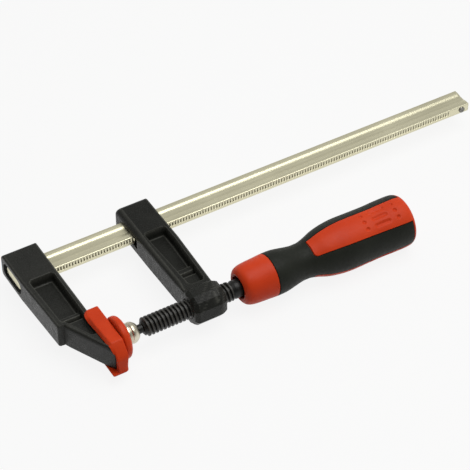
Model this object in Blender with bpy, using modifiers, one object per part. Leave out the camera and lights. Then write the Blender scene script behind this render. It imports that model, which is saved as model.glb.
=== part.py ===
"""Quick release clamp, an 80 x 300 mm F-clamp, as separate solids at real size.

The origin is the middle of the bar's riveted head, at the fixed jaw. +X runs along the bar to
its free end, +Y from the screw to the bar, +Z is up through the castings as the clamp lies
on its side. The pose drawn is the closed clamp.
"""
import math

import bmesh
import bpy
from mathutils import Matrix, Vector

MM = 0.001

# Bar: cold drawn flat rail with a shallow groove in both wide sides
BAR_LENGTH = 382.5 * MM
BAR_HEIGHT = 18.0 * MM
BAR_THICKNESS = 6.9 * MM
BAR_CORNER = 0.7 * MM
BAR_RAIL_WIDTH = 3.7 * MM
BAR_SLOPE_WIDTH = 3.2 * MM
BAR_GROOVE_DEPTH = 1.0 * MM
TOOTH_PITCH = 2.3 * MM
TOOTH_DEPTH = 0.8 * MM
TOOTH_LAND = 0.5 * MM
TOOTH_WIDTH = 3.6 * MM
TEETH_FROM_JAW = 3.0 * MM
TEETH_FROM_END = 16.0 * MM
BAR_HEAD_HEIGHT = 22.6 * MM
BAR_HEAD_THICKNESS = 7.2 * MM
BAR_HEAD_DEPTH = 1.5 * MM

# End stop: a dowel pressed into the toothed edge
STOP_DIAMETER = 4.8 * MM
STOP_DEPTH = 6.0 * MM
STOP_PROUD = 1.0 * MM
STOP_DIMPLE = 1.4 * MM
STOP_FROM_END = 6.5 * MM

# Throat, shared by both castings
THROAT = 87.8 * MM
CASTING_THICKNESS = 19.0 * MM
WEB_THICKNESS = 4.0 * MM
POCKET_FILLET = 1.5 * MM
RIB_HEIGHT = 4.5 * MM
POCKET_LEDGE = 0.5 * MM

# Fixed jaw, measured from its outer face and down from the bar's middle
JAW_WIDTH = 27.0 * MM
JAW_BACK = 18.5 * MM
JAW_BACK_ROUND = 4.0 * MM
JAW_TAPER = 3.4 * MM
JAW_TAPER_START = 14.0 * MM
JAW_HEEL_DROP = 66.6 * MM
JAW_HEEL_STEP = 3.0 * MM
NOSE_SHOULDER_IN = 8.1 * MM
NOSE_SHOULDER_DROP = 71.0 * MM
NOSE_END_IN = 20.7 * MM
NOSE_END_DROP = 96.6 * MM
JAW_REACH = 104.2 * MM
JAW_TIP_WIDTH = 1.8 * MM
JAW_RAIL_OUTER = 1.6 * MM
JAW_RAIL_INNER = 3.0 * MM
JAW_POCKET_TOP = 16.4 * MM
JAW_RIB_DROP = 57.6 * MM
JAW_RIB_WIDTH = 2.7 * MM
JAW_SLOT_END = 64.8 * MM
NOSE_POCKET_RAIL = 4.2 * MM
NOSE_POCKET_END = 84.5 * MM
NOSE_WEB_THICKNESS = 9.0 * MM
EYE_HEIGHT = 27.6 * MM
EYE_THICKNESS = 11.4 * MM
EYE_DEPTH = 2.8 * MM

# Soft cap on the fixed jaw
CAP_PAD = 7.0 * MM
CAP_LIP = 1.5 * MM
CAP_LIP_SLOPE = 2.9 * MM
CAP_LIP_EDGE = 0.3 * MM
CAP_COVER = 5.5 * MM
CAP_TOP_DROP = 63.5 * MM
CAP_END_WALL = 3.6 * MM
CAP_NOSE_ROUND = 7.0 * MM
CAP_FLARE = 0.8 * MM
CAP_FLARE_HEIGHT = 5.5 * MM
CAP_EDGE = 0.8 * MM
CAP_END_SETBACK = 3.6 * MM

# Sliding arm, measured from its clamping side and down from the bar's middle
ARM_FROM_CAP = 56.7 * MM
ARM_WIDTH = 25.3 * MM
ARM_BACK = 21.0 * MM
ARM_BACK_ROUND = 5.0 * MM
ARM_TAPER_START = 30.0 * MM
ARM_TAPER = 2.5 * MM
ARM_FRONT_TAPER = 0.9 * MM
ARM_RAIL_OUTER = 2.9 * MM
ARM_RAIL_FRONT = 5.0 * MM
ARM_POCKET_TOP = 15.2 * MM
ARM_RIB_DROP = 58.2 * MM
ARM_RIB_WIDTH = 2.4 * MM
ARM_SLOT_END = 65.0 * MM
ARM_POCKET_END = 76.5 * MM
ARM_CHAMFER_WIDTH = 3.4 * MM
ARM_CHAMFER_DEPTH = 2.4 * MM
ARM_CHAMFER_END = 42.0 * MM
SLOT_SIDE_GAP = 0.45 * MM
SLOT_BACK_GAP = 1.1 * MM
SLOT_TOOTH_GAP = 0.7 * MM
RELIEF_DROP = 8.0 * MM
RELIEF_LENGTH = 13.5 * MM

# Grip pin: hardened dowel that bites on the toothed edge
GRIP_DIAMETER = 5.0 * MM
GRIP_LENGTH = 15.0 * MM
GRIP_FROM_BACK = 5.2 * MM
GRIP_RECESS = 0.5 * MM

# Boss round the screw
BOSS_LENGTH = 25.2 * MM
BOSS_ACROSS_FLATS = 25.2 * MM
BOSS_CORNER = 1.6 * MM
BOSS_END_ROUND = 2.4 * MM

# Screw
SCREW_DIAMETER = 14.2 * MM
SCREW_CORE = 10.8 * MM
SCREW_PITCH = 3.0 * MM
THREAD_TURNS = 22
THREAD_STEPS = 14
SCREW_STEPS = 20
THREAD_CREST = 1.1 * MM
THREAD_ROOT = 1.9 * MM
THREAD_CLEARANCE = 0.35 * MM
NECK_DIAMETER = 6.6 * MM
NECK_LENGTH = 9.5 * MM
SCREW_LEAD_IN = 3.0 * MM
COLLAR_DIAMETER = 13.4 * MM
SHANK_DIAMETER = 11.0 * MM
SHANK_LENGTH = 72.5 * MM

# Ball joint at the screw's front end
CLOSED_GAP = 0.5 * MM
BALL_DIAMETER = 9.0 * MM
BALL_SETBACK = 10.7 * MM
SOCKET_CLEARANCE = 0.3 * MM
HUB_DIAMETER = 15.6 * MM
HUB_STRAIGHT = 6.0 * MM
HUB_END_DIAMETER = 11.0 * MM
HUB_END = 5.3 * MM
PAD_DISC_DIAMETER = 26.4 * MM
PAD_DISC_THICKNESS = 3.0 * MM
RING_OUTER = 10.4 * MM
RING_INNER = 7.6 * MM
RING_THICKNESS = 1.0 * MM
RING_BEHIND_BALL = 2.7 * MM
RING_MOUTH = 2.0 * MM

# Soft cap on the swivel pad
PAD_CAP_DIAMETER = 31.2 * MM
PAD_CAP_FRONT = 2.2 * MM
PAD_CAP_LENGTH = 8.5 * MM
PAD_CAP_BACK_ROUND = 4.3 * MM
PAD_CAP_RIM = 0.8 * MM

# Handle
HANDLE_GAP = 14.8 * MM
HANDLE_LENGTH = 138.5 * MM
HANDLE_DIAMETER = 39.6 * MM
HANDLE_PROFILE_SHARES = (
    (0.004, 0.566), (0.012, 0.647), (0.025, 0.707), (0.045, 0.745), (0.07, 0.766),
    (0.132, 0.788), (0.189, 0.808), (0.223, 0.803), (0.253, 0.778), (0.288, 0.732),
    (0.317, 0.694), (0.349, 0.668), (0.378, 0.669), (0.416, 0.72), (0.439, 0.768),
    (0.479, 0.864), (0.512, 0.919), (0.547, 0.96), (0.578, 0.985), (0.621, 1.0),
    (0.732, 0.987), (0.794, 0.982), (0.874, 0.997), (0.932, 1.0), (0.967, 0.985),
    (0.989, 0.925), (1.0, 0.8),
)
FERRULE_SHARE = 0.179
WINDOW_START_SHARE = 0.408
WINDOW_HALF_ANGLE = math.radians(30.5)
WINDOW_CENTRE_ANGLE = math.radians(16.5)
WINDOWS = 3
RECESS_DIAMETER = 17.0 * MM
RECESS_DEPTH = 4.0 * MM
FRONT_FACE_DIAMETER = 20.4 * MM
GRIP_WALL = 2.2 * MM
END_BUTTON_DIAMETER = 24.0 * MM

# Shared fits
FIT = 0.3 * MM
OVERRUN = 2.0 * MM
ROUND_STEPS = 24
WELD = 0.001 * MM

# Places worked out from the sizes
HALF_CASTING = CASTING_THICKNESS / 2
HALF_WEB = WEB_THICKNESS / 2
HALF_HEIGHT = BAR_HEIGHT / 2
HALF_BAR = BAR_THICKNESS / 2
SCREW_Y = -THROAT
JAW_OUTER_X = BAR_HEAD_DEPTH + FIT - EYE_DEPTH
JAW_FACE_X = JAW_OUTER_X + JAW_WIDTH
CLAMP_X = JAW_FACE_X + FIT + CAP_PAD
ARM_X = CLAMP_X + ARM_FROM_CAP
PAD_FRONT_X = CLAMP_X + CLOSED_GAP
BALL_X = PAD_FRONT_X + BALL_SETBACK
NECK_END_X = BALL_X + NECK_LENGTH
THREAD_START_X = NECK_END_X + SCREW_LEAD_IN
BOSS_END_X = ARM_X + BOSS_LENGTH
HANDLE_START_X = BOSS_END_X + HANDLE_GAP
HANDLE_END_X = HANDLE_START_X + HANDLE_LENGTH
GRIP_X = ARM_X + ARM_WIDTH - GRIP_FROM_BACK
GRIP_Y = -HALF_HEIGHT - FIT - GRIP_DIAMETER / 2

ALONG_X = (math.pi / 2, 0.0, math.pi / 2)
ALONG_Y = (math.pi / 2, 0.0, 0.0)


def clear_scene():
    """Empty the scene without closing the file."""
    for item in list(bpy.data.objects):
        bpy.data.objects.remove(item, do_unlink=True)


def new_collection(name):
    group = bpy.data.collections.new(name)
    bpy.context.scene.collection.children.link(group)
    return group


def paint(name, colour, roughness, metallic=0.0):
    """A plain finish: colour, roughness and metal share."""
    skin = bpy.data.materials.new(name)
    skin.use_nodes = True
    shader = skin.node_tree.nodes["Principled BSDF"]
    shader.inputs["Base Color"].default_value = (*colour, 1.0)
    shader.inputs["Roughness"].default_value = roughness
    shader.inputs["Metallic"].default_value = metallic
    skin.diffuse_color = (*colour, 1.0)
    return skin


def place(item, group, at=(0.0, 0.0, 0.0), turn=(0.0, 0.0, 0.0)):
    """Link an object and set where it stands."""
    group.objects.link(item)
    item.location = at
    item.rotation_euler = turn
    return item


def tool(item):
    """Mark an object as a cutter or a guide."""
    item.hide_render = True
    item.display_type = "WIRE"
    return item


def rounded(corners, radius, steps=3):
    """Replace each corner of a closed outline by an arc tangent to its two sides."""
    points = []
    count = len(corners)
    for index, corner in enumerate(corners):
        here = Vector(corner)
        before = (Vector(corners[index - 1]) - here)
        after = (Vector(corners[(index + 1) % count]) - here)
        half = before.angle(after) / 2
        cut = min(radius / math.tan(half), before.length / 2, after.length / 2)
        arc = cut * math.tan(half)
        middle = here + (before.normalized() + after.normalized()).normalized() * arc / math.sin(half)
        start = here + before.normalized() * cut - middle
        end = here + after.normalized() * cut - middle
        sweep = start.angle_signed(end)
        for step in range(steps + 1):
            spoke = start.copy()
            spoke.rotate(Matrix.Rotation(-sweep * step / steps, 2))
            points.append(tuple(middle + spoke))
    return points


def oval(length, width, steps=8):
    """A slot outline with round ends, its length along X."""
    reach = (length - width) / 2
    points = []
    for side in (1, -1):
        for step in range(steps + 1):
            angle = math.pi * step / steps - math.pi / 2
            points.append((side * (reach + math.cos(angle) * width / 2), side * math.sin(angle) * width / 2))
    return points


def as_mesh(item, group):
    """Turn an evaluated object into a welded mesh object in the same place."""
    bpy.context.view_layer.update()
    graph = bpy.context.evaluated_depsgraph_get()
    mesh = bpy.data.meshes.new_from_object(item.evaluated_get(graph))
    shell = bmesh.new()
    shell.from_mesh(mesh)
    bmesh.ops.remove_doubles(shell, verts=shell.verts, dist=WELD)
    bmesh.ops.recalc_face_normals(shell, faces=shell.faces)
    shell.to_mesh(mesh)
    shell.free()
    solid = bpy.data.objects.new(item.name, mesh)
    group.objects.link(solid)
    solid.matrix_world = item.matrix_world.copy()
    bpy.data.objects.remove(item, do_unlink=True)
    return solid


def slab(name, outline, thickness, group, at=(0.0, 0.0, 0.0), turn=(0.0, 0.0, 0.0), fillet=0.0):
    """A flat outline given a thickness, with its rims rounded by the fillet."""
    curve = bpy.data.curves.new(name, "CURVE")
    curve.dimensions = "2D"
    curve.fill_mode = "BOTH"
    curve.extrude = thickness / 2 - fillet
    curve.bevel_depth = fillet
    curve.bevel_resolution = 1
    curve.offset = -fillet
    line = curve.splines.new("POLY")
    line.points.add(len(outline) - 1)
    for point, spot in zip(line.points, outline):
        point.co = (*spot, 0.0, 1.0)
    line.use_cyclic_u = True
    item = place(bpy.data.objects.new(name, curve), group, at, turn)
    solid = as_mesh(item, group)
    solid.name = name
    return solid


def turned(name, profile, group, x=0.0, closed=False, steps=ROUND_STEPS):
    """A turned shape about the screw's axis, from (distance along X, radius) points."""
    mesh = bpy.data.meshes.new(name)
    line = bmesh.new()
    spots = [line.verts.new((radius, 0.0, along)) for along, radius in reversed(profile)]
    for first, second in zip(spots, spots[1:]):
        line.edges.new((first, second))
    if closed:
        line.edges.new((spots[-1], spots[0]))
    line.to_mesh(mesh)
    line.free()
    item = place(bpy.data.objects.new(name, mesh), group, (x, SCREW_Y, 0.0), ALONG_X)
    sweep = item.modifiers.new("turn", "SCREW")
    sweep.axis = "Z"
    sweep.steps = steps
    sweep.render_steps = steps
    sweep.use_merge_vertices = True
    sweep.merge_threshold = WELD
    return item


def rod(name, diameter, length, group, middle, turn=(0.0, 0.0, 0.0), steps=24):
    """A plain round bar about its local Z."""
    mesh = bpy.data.meshes.new(name)
    shell = bmesh.new()
    bmesh.ops.create_cone(shell, cap_ends=True, segments=steps, radius1=diameter / 2,
                          radius2=diameter / 2, depth=length)
    shell.to_mesh(mesh)
    shell.free()
    return place(bpy.data.objects.new(name, mesh), group, middle, turn)


def block(name, low, high, group):
    """A box between two corners."""
    low, high = Vector(low), Vector(high)
    mesh = bpy.data.meshes.new(name)
    shell = bmesh.new()
    bmesh.ops.create_cube(shell, size=1.0, matrix=Matrix.Diagonal((*(high - low), 1.0)))
    shell.to_mesh(mesh)
    shell.free()
    return place(bpy.data.objects.new(name, mesh), group, (low + high) / 2)


def combine(item, other, operation="DIFFERENCE"):
    """Cut, join or keep the common part with another object."""
    tool(other)
    step = item.modifiers.new(other.name, "BOOLEAN")
    step.operation = operation
    step.solver = "EXACT"
    step.object = other
    return item


def finish(item, skin, holder=None):
    """Give a part its finish and hang it on its holder."""
    item.data.materials.clear()
    item.data.materials.append(skin)
    item.data.shade_smooth()
    item.data.set_sharp_from_angle(angle=math.radians(30))
    if holder:
        item.location = Vector(item.location) - world_place(holder)
        item.parent = holder
    return item


def world_place(item):
    """Where an unturned chain of holders puts an object."""
    spot = Vector(item.location)
    while item.parent:
        item = item.parent
        spot += Vector(item.location)
    return spot


def axis_mark(name, at, group, holder=None):
    """An empty on a joint's axis, which carries what moves about it."""
    mark = place(bpy.data.objects.new(name, None), group, at)
    mark.empty_display_size = HUB_DIAMETER
    if holder:
        mark.location = Vector(at) - world_place(holder)
        mark.parent = holder
    return mark


def bar_section():
    """The rail's section: (across the height, through the thickness)."""
    edge = HALF_HEIGHT
    flat = edge - BAR_CORNER
    slope = edge - BAR_RAIL_WIDTH
    floor = slope - BAR_SLOPE_WIDTH
    deep = HALF_BAR - BAR_GROOVE_DEPTH
    upper = [(edge, HALF_BAR - BAR_CORNER), (flat, HALF_BAR), (slope, HALF_BAR), (floor, deep)]
    top = upper + [(-across, level) for across, level in reversed(upper)]
    return top + [(across, -level) for across, level in reversed(top)]


def make_bar(parts, tools):
    """The rail, with its riveted head, its teeth and the stop pin's hole."""
    bar = slab("bar", bar_section(), BAR_LENGTH, parts,
               (BAR_LENGTH / 2, 0.0, 0.0), ALONG_X)
    head = slab("bar_head", oval(BAR_HEAD_HEIGHT, BAR_HEAD_THICKNESS), BAR_HEAD_DEPTH, tools,
                (BAR_HEAD_DEPTH / 2, 0.0, 0.0), ALONG_X)
    combine(bar, head, "UNION")
    comb = bpy.data.meshes.new("tooth_gaps")
    shell = bmesh.new()
    first = JAW_FACE_X + TEETH_FROM_JAW
    count = int((BAR_LENGTH - TEETH_FROM_END - first) / TOOTH_PITCH)
    gap_depth = TOOTH_DEPTH + BAR_CORNER
    gap_width = (TOOTH_PITCH - TOOTH_LAND) * gap_depth / TOOTH_DEPTH
    unit_width = 2 * math.sin(math.pi / 3)
    unit_depth = 1 + math.cos(math.pi / 3)
    wedge = Matrix.Diagonal((gap_width / unit_width, gap_depth / unit_depth, TOOTH_WIDTH, 1.0))
    quarter = Matrix.Rotation(math.pi / 2, 4, "Z")
    for index in range(count):
        spot = Vector((first + index * TOOTH_PITCH, TOOTH_DEPTH - gap_depth / unit_depth, 0.0))
        bmesh.ops.create_cone(shell, cap_ends=True, segments=3, radius1=1.0, radius2=1.0, depth=1.0,
                              matrix=Matrix.Translation(spot) @ wedge @ quarter)
    shell.to_mesh(comb)
    shell.free()
    gaps = place(bpy.data.objects.new("tooth_gaps", comb), tools, (0.0, -HALF_HEIGHT, 0.0))
    combine(bar, gaps)
    hole_depth = STOP_DEPTH + FIT + OVERRUN
    hole = rod("stop_hole", STOP_DIAMETER + 2 * FIT, hole_depth, tools,
               (BAR_LENGTH - STOP_FROM_END, hole_depth / 2 - HALF_HEIGHT - OVERRUN, 0.0),
               ALONG_Y, 16)
    return combine(bar, hole)


def make_stop(parts, tools):
    """The pressed-in stop pin, standing proud of the toothed edge."""
    length = STOP_DEPTH + STOP_PROUD
    middle = length / 2 - HALF_HEIGHT - STOP_PROUD
    spot = BAR_LENGTH - STOP_FROM_END
    pin = rod("end_stop_pin", STOP_DIAMETER, length, parts, (spot, middle, 0.0), ALONG_Y, 16)
    dimple = rod("stop_dimple", STOP_DIMPLE, STOP_PROUD, tools,
                 (spot, middle - length / 2, 0.0), ALONG_Y, 8)
    return combine(pin, dimple)


def casting_side(name, top, back, back_round, low, width, at, tools):
    """The side view of a casting: thickness down its length, with a rounded back end."""
    start = back - back_round
    rim = []
    steps = 6
    for step in range(steps + 1):
        angle = math.pi / 2 * step / steps
        rim.append((start + back_round * math.sin(angle), HALF_CASTING * math.cos(angle)))
    upper = [(low, HALF_CASTING)] + rim
    lower = [(across, -level) for across, level in reversed(upper[:-1])]
    return slab(name, upper + lower, width + 2 * top, tools, at, ALONG_X)


def make_fixed_jaw(parts, tools):
    """The fixed jaw casting, riveted on the end of the bar."""
    at = (JAW_OUTER_X, 0.0, 0.0)
    plan = [
        (0.0, JAW_BACK), (0.0, -JAW_TAPER_START), (JAW_TAPER, -JAW_HEEL_DROP),
        (JAW_TAPER + JAW_HEEL_STEP, -JAW_HEEL_DROP), (NOSE_SHOULDER_IN, -NOSE_SHOULDER_DROP),
        (NOSE_END_IN, -NOSE_END_DROP), (JAW_WIDTH - JAW_TIP_WIDTH, -JAW_REACH),
        (JAW_WIDTH, -JAW_REACH), (JAW_WIDTH, JAW_BACK),
    ]
    jaw = slab("fixed_jaw", plan, CASTING_THICKNESS + 2 * OVERRUN, parts, at)
    side = casting_side("jaw_side", OVERRUN, JAW_BACK, JAW_BACK_ROUND, -JAW_REACH - OVERRUN,
                        JAW_WIDTH, (JAW_OUTER_X + JAW_WIDTH / 2, 0.0, 0.0), tools)
    combine(jaw, side, "INTERSECT")
    left = JAW_RAIL_OUTER + JAW_TAPER
    right = JAW_WIDTH - JAW_RAIL_INNER
    in_left, in_right = left + POCKET_LEDGE, right - POCKET_LEDGE
    slot_left = left + JAW_RAIL_OUTER
    slot_top = JAW_RIB_DROP + JAW_RIB_WIDTH
    pocket = rounded([(in_left, -JAW_POCKET_TOP - POCKET_LEDGE), (in_right, -JAW_POCKET_TOP - POCKET_LEDGE),
                      (in_right, -JAW_RIB_DROP), (slot_left, -JAW_RIB_DROP)], 2 * POCKET_FILLET)
    slot = rounded([(slot_left + POCKET_LEDGE, -slot_top), (in_right, -slot_top),
                    (in_right, -JAW_SLOT_END + POCKET_LEDGE),
                    (slot_left + POCKET_LEDGE, -JAW_SLOT_END + POCKET_LEDGE)], POCKET_FILLET)
    span = rounded([(left, -JAW_POCKET_TOP), (right, -JAW_POCKET_TOP), (right, -JAW_SLOT_END),
                    (slot_left, -JAW_SLOT_END)], 2 * POCKET_FILLET)
    lean = (NOSE_END_IN - NOSE_SHOULDER_IN) / (NOSE_END_DROP - NOSE_SHOULDER_DROP)
    nose_top = NOSE_SHOULDER_DROP
    nose_in = NOSE_SHOULDER_IN + NOSE_POCKET_RAIL
    nose = rounded([(nose_in, -nose_top), (right, -nose_top), (right, -NOSE_POCKET_END),
                    (nose_in + lean * (NOSE_POCKET_END - nose_top), -NOSE_POCKET_END)], POCKET_FILLET)
    for face in (1, -1):
        sink_pocket(jaw, f"jaw_pocket_{face}", pocket, HALF_WEB, face, at, tools)
        sink_pocket(jaw, f"jaw_slot_{face}", slot, HALF_WEB, face, at, tools)
        sink_pocket(jaw, f"jaw_span_{face}", span, RIB_HEIGHT, face, at, tools)
        sink_pocket(jaw, f"jaw_nose_{face}", nose, NOSE_WEB_THICKNESS / 2, face, at, tools)
    through = slab("jaw_eye", rectangle(BAR_HEIGHT + 2 * FIT, BAR_THICKNESS + 2 * FIT),
                   JAW_WIDTH + 2 * OVERRUN, tools, (JAW_OUTER_X + JAW_WIDTH / 2, 0.0, 0.0), ALONG_X)
    combine(jaw, through)
    eye = slab("jaw_eye_recess", oval(EYE_HEIGHT, EYE_THICKNESS), EYE_DEPTH + OVERRUN, tools,
               (JAW_OUTER_X + (EYE_DEPTH - OVERRUN) / 2, 0.0, 0.0), ALONG_X)
    return combine(jaw, eye)


def rectangle(height, thickness):
    """A plain rectangle about the middle."""
    return [(height / 2, thickness / 2), (-height / 2, thickness / 2),
            (-height / 2, -thickness / 2), (height / 2, -thickness / 2)]


def sink_pocket(casting, name, outline, floor, face, at, tools):
    """Sink a filleted pocket from one face of a casting down to its floor."""
    depth = HALF_CASTING + OVERRUN - floor
    middle = Vector(at) + Vector((0.0, 0.0, face * (floor + depth / 2)))
    cutter = slab(name, outline, depth, tools, middle, fillet=POCKET_FILLET)
    combine(casting, cutter)


def make_jaw_cap(parts, tools):
    """The soft cap, a sock over the jaw's nose."""
    outer = HALF_CASTING + FIT + CAP_LIP
    inner = HALF_CASTING + FIT
    foot = JAW_FACE_X - CAP_COVER
    slope = foot + CAP_LIP_SLOPE
    upper = [(slope, outer), (CLAMP_X - CAP_EDGE, outer), (CLAMP_X, outer - CAP_EDGE)]
    section = [(foot, inner + CAP_LIP_EDGE)] + upper
    section = section + [(x, -z) for x, z in reversed(section)]
    end_y = -JAW_REACH - FIT - CAP_END_WALL
    top_y = -CAP_TOP_DROP
    low_y = end_y - CAP_FLARE
    length = top_y - low_y + OVERRUN
    cap = slab("jaw_cap", section, length, parts, (0.0, top_y - length / 2, 0.0), ALONG_Y)
    nose = []
    steps = 4
    for step in range(steps + 1):
        turn = math.pi / 2 * step / steps
        nose.append((end_y + CAP_NOSE_ROUND * (1 - math.sin(turn)),
                     outer - CAP_NOSE_ROUND * (1 - math.cos(turn))))
    side = [(top_y + OVERRUN, outer + OVERRUN), *nose, (end_y, CAP_FLARE_HEIGHT - outer),
            (low_y, -outer), (top_y + OVERRUN, -outer - OVERRUN)]
    shaper = slab("cap_side", side, CAP_PAD + CAP_COVER + 4 * OVERRUN,
                  tools, ((foot + CLAMP_X) / 2, 0.0, 0.0), ALONG_X)
    combine(cap, shaper, "INTERSECT")
    pocket = block("cap_pocket", (foot - OVERRUN, end_y + CAP_END_WALL, -inner),
                   (JAW_FACE_X + FIT, top_y + OVERRUN, inner), tools)
    combine(cap, pocket)
    window = block("cap_window", (foot - OVERRUN, low_y - OVERRUN, -inner),
                   (foot + CAP_END_SETBACK, end_y + CAP_END_WALL + OVERRUN, inner), tools)
    return combine(cap, window)


def make_arm(parts, tools):
    """The sliding arm casting, with the slot for the bar and the boss for the screw."""
    at = (ARM_X, 0.0, 0.0)
    plan = [
        (0.0, ARM_BACK), (0.0, -ARM_TAPER_START), (ARM_FRONT_TAPER, -THROAT),
        (ARM_WIDTH - ARM_TAPER, -THROAT), (ARM_WIDTH, -ARM_TAPER_START), (ARM_WIDTH, ARM_BACK),
    ]
    arm = slab("sliding_arm", plan, CASTING_THICKNESS + 2 * OVERRUN, parts, at)
    side = casting_side("arm_side", OVERRUN, ARM_BACK, ARM_BACK_ROUND, -THROAT - OVERRUN,
                        ARM_WIDTH, (ARM_X + ARM_WIDTH / 2, 0.0, 0.0), tools)
    combine(arm, side, "INTERSECT")
    right = ARM_WIDTH - ARM_RAIL_OUTER
    foot_right = right - ARM_TAPER * ARM_POCKET_END / THROAT
    left = ARM_RAIL_FRONT
    in_left, in_right = left + POCKET_LEDGE, right - POCKET_LEDGE
    slot_left = left + ARM_RAIL_OUTER
    slot_right = foot_right - POCKET_LEDGE
    slot_top = ARM_RIB_DROP + ARM_RIB_WIDTH
    pocket = rounded([(in_left, -ARM_POCKET_TOP - POCKET_LEDGE), (in_right, -ARM_POCKET_TOP - POCKET_LEDGE),
                      (in_right, -ARM_TAPER_START), (slot_right, -ARM_RIB_DROP),
                      (slot_left, -ARM_RIB_DROP)], 2 * POCKET_FILLET)
    slot = rounded([(slot_left + POCKET_LEDGE, -slot_top), (slot_right, -slot_top),
                    (slot_right, -ARM_SLOT_END), (slot_left + POCKET_LEDGE, -ARM_SLOT_END)], POCKET_FILLET)
    span = rounded([(left, -ARM_POCKET_TOP), (right, -ARM_POCKET_TOP), (right, -ARM_TAPER_START),
                    (foot_right, -ARM_POCKET_END), (slot_left, -ARM_POCKET_END)],
                   2 * POCKET_FILLET)
    for face in (1, -1):
        sink_pocket(arm, f"arm_pocket_{face}", pocket, HALF_WEB, face, at, tools)
        sink_pocket(arm, f"arm_slot_{face}", slot, HALF_WEB, face, at, tools)
        sink_pocket(arm, f"arm_span_{face}", span, RIB_HEIGHT, face, at, tools)
        combine(arm, arm_chamfer(face, tools))
    flats = BOSS_ACROSS_FLATS / 2 / math.cos(math.pi / 8)
    turns = [math.pi * (2 * side + 1) / 8 for side in range(8)]
    octagon = [(flats * math.cos(turn), flats * math.sin(turn)) for turn in turns]
    boss = slab("arm_boss", rounded(octagon, BOSS_CORNER, 1), BOSS_LENGTH, tools,
                (ARM_X + BOSS_LENGTH / 2, SCREW_Y, 0.0), ALONG_X, BOSS_END_ROUND)
    combine(arm, boss, "UNION")
    combine(arm, rod("screw_bore", SCREW_DIAMETER + 2 * THREAD_CLEARANCE, BOSS_LENGTH + 2 * OVERRUN,
                     tools, (ARM_X + BOSS_LENGTH / 2, SCREW_Y, 0.0), ALONG_X))
    back = HALF_HEIGHT + SLOT_BACK_GAP
    front = -HALF_HEIGHT - SLOT_TOOTH_GAP
    side_gap = HALF_BAR + SLOT_SIDE_GAP
    combine(arm, block("bar_slot", (ARM_X - OVERRUN, front, -side_gap),
                       (ARM_X + ARM_WIDTH + OVERRUN, back, side_gap), tools))
    combine(arm, block("tooth_relief", (ARM_X - OVERRUN, front - RELIEF_DROP, -side_gap),
                       (ARM_X + RELIEF_LENGTH, back - OVERRUN, side_gap), tools))
    bore = GRIP_LENGTH + 2 * FIT + OVERRUN
    combine(arm, rod("grip_bore", GRIP_DIAMETER + 2 * FIT, bore, tools,
                     (GRIP_X, GRIP_Y, -HALF_CASTING - OVERRUN + bore / 2), steps=20))
    return arm


def arm_chamfer(face, tools):
    """The wide chamfer on the arm's clamping side, which fades out down the arm."""
    width, depth = 2 * ARM_CHAMFER_WIDTH, 2 * ARM_CHAMFER_DEPTH
    length = ARM_CHAMFER_END + ARM_BACK + OVERRUN
    section = [(-width / 2, 0.0), (0.0, -face * depth / 2), (width / 2, 0.0), (0.0, face * depth / 2)]
    wedge = slab(f"arm_chamfer_{face}", section, length, tools,
                 (ARM_X, length / 2 - ARM_CHAMFER_END, face * HALF_CASTING), ALONG_Y)
    wedge.rotation_euler.z = -math.atan(ARM_CHAMFER_WIDTH / 2 / length)
    return wedge


def make_grip_pin(parts):
    """The hardened dowel across the slot, which the arm rocks on as it bites the teeth."""
    middle = -HALF_CASTING + GRIP_RECESS + GRIP_LENGTH / 2
    return rod("grip_pin", GRIP_DIAMETER, GRIP_LENGTH, parts, (GRIP_X, GRIP_Y, middle), steps=20)


def ball_arc(centre, radius, start, stop, steps=5):
    """Points along a ball's outline, from one angle to another off the forward axis."""
    points = []
    for step in range(steps + 1):
        angle = start + (stop - start) * step / steps
        points.append((centre - radius * math.cos(angle), radius * math.sin(angle)))
    return points


def make_screw(parts, tools):
    """The screw: ball end, neck, thread, collar and shank in one turned piece."""
    neck = NECK_DIAMETER / 2
    core = SCREW_CORE / 2
    ball = BALL_DIAMETER / 2
    thread_end = THREAD_START_X + THREAD_TURNS * SCREW_PITCH
    collar_end = HANDLE_START_X + RECESS_DEPTH - FIT
    shank_end = collar_end + SHANK_LENGTH
    profile = ball_arc(0.0, ball, 0.0, math.pi - math.asin(neck / ball))
    profile += [
        (NECK_END_X - BALL_X, neck), (NECK_END_X - BALL_X + core - neck, core),
        (thread_end - BALL_X, core), (thread_end - BALL_X + FIT, COLLAR_DIAMETER / 2),
        (collar_end - BALL_X, COLLAR_DIAMETER / 2), (collar_end - BALL_X, SHANK_DIAMETER / 2),
        (shank_end - BALL_X, SHANK_DIAMETER / 2), (shank_end - BALL_X, 0.0),
    ]
    screw = turned("screw", profile, parts, BALL_X, steps=SCREW_STEPS)
    crest = SCREW_DIAMETER / 2
    root = core - FIT
    half_crest, half_root = THREAD_CREST / 2, THREAD_ROOT / 2
    ridge = bpy.data.meshes.new("thread_ridge")
    line = bmesh.new()
    spots = [line.verts.new((radius, 0.0, along)) for radius, along in
             ((crest, half_crest), (crest, -half_crest), (root, -half_root), (root, half_root))]
    for index, spot in enumerate(spots):
        line.edges.new((spot, spots[(index + 1) % len(spots)]))
    line.to_mesh(ridge)
    line.free()
    item = place(bpy.data.objects.new("thread_ridge", ridge), tools,
                 (THREAD_START_X, SCREW_Y, 0.0), ALONG_X)
    sweep = item.modifiers.new("helix", "SCREW")
    sweep.axis = "Z"
    sweep.steps = THREAD_STEPS
    sweep.render_steps = THREAD_STEPS
    sweep.screw_offset = SCREW_PITCH
    sweep.iterations = THREAD_TURNS
    ridge = close_ends(as_mesh(item, tools))
    return combine(screw, ridge, "UNION")


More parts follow.
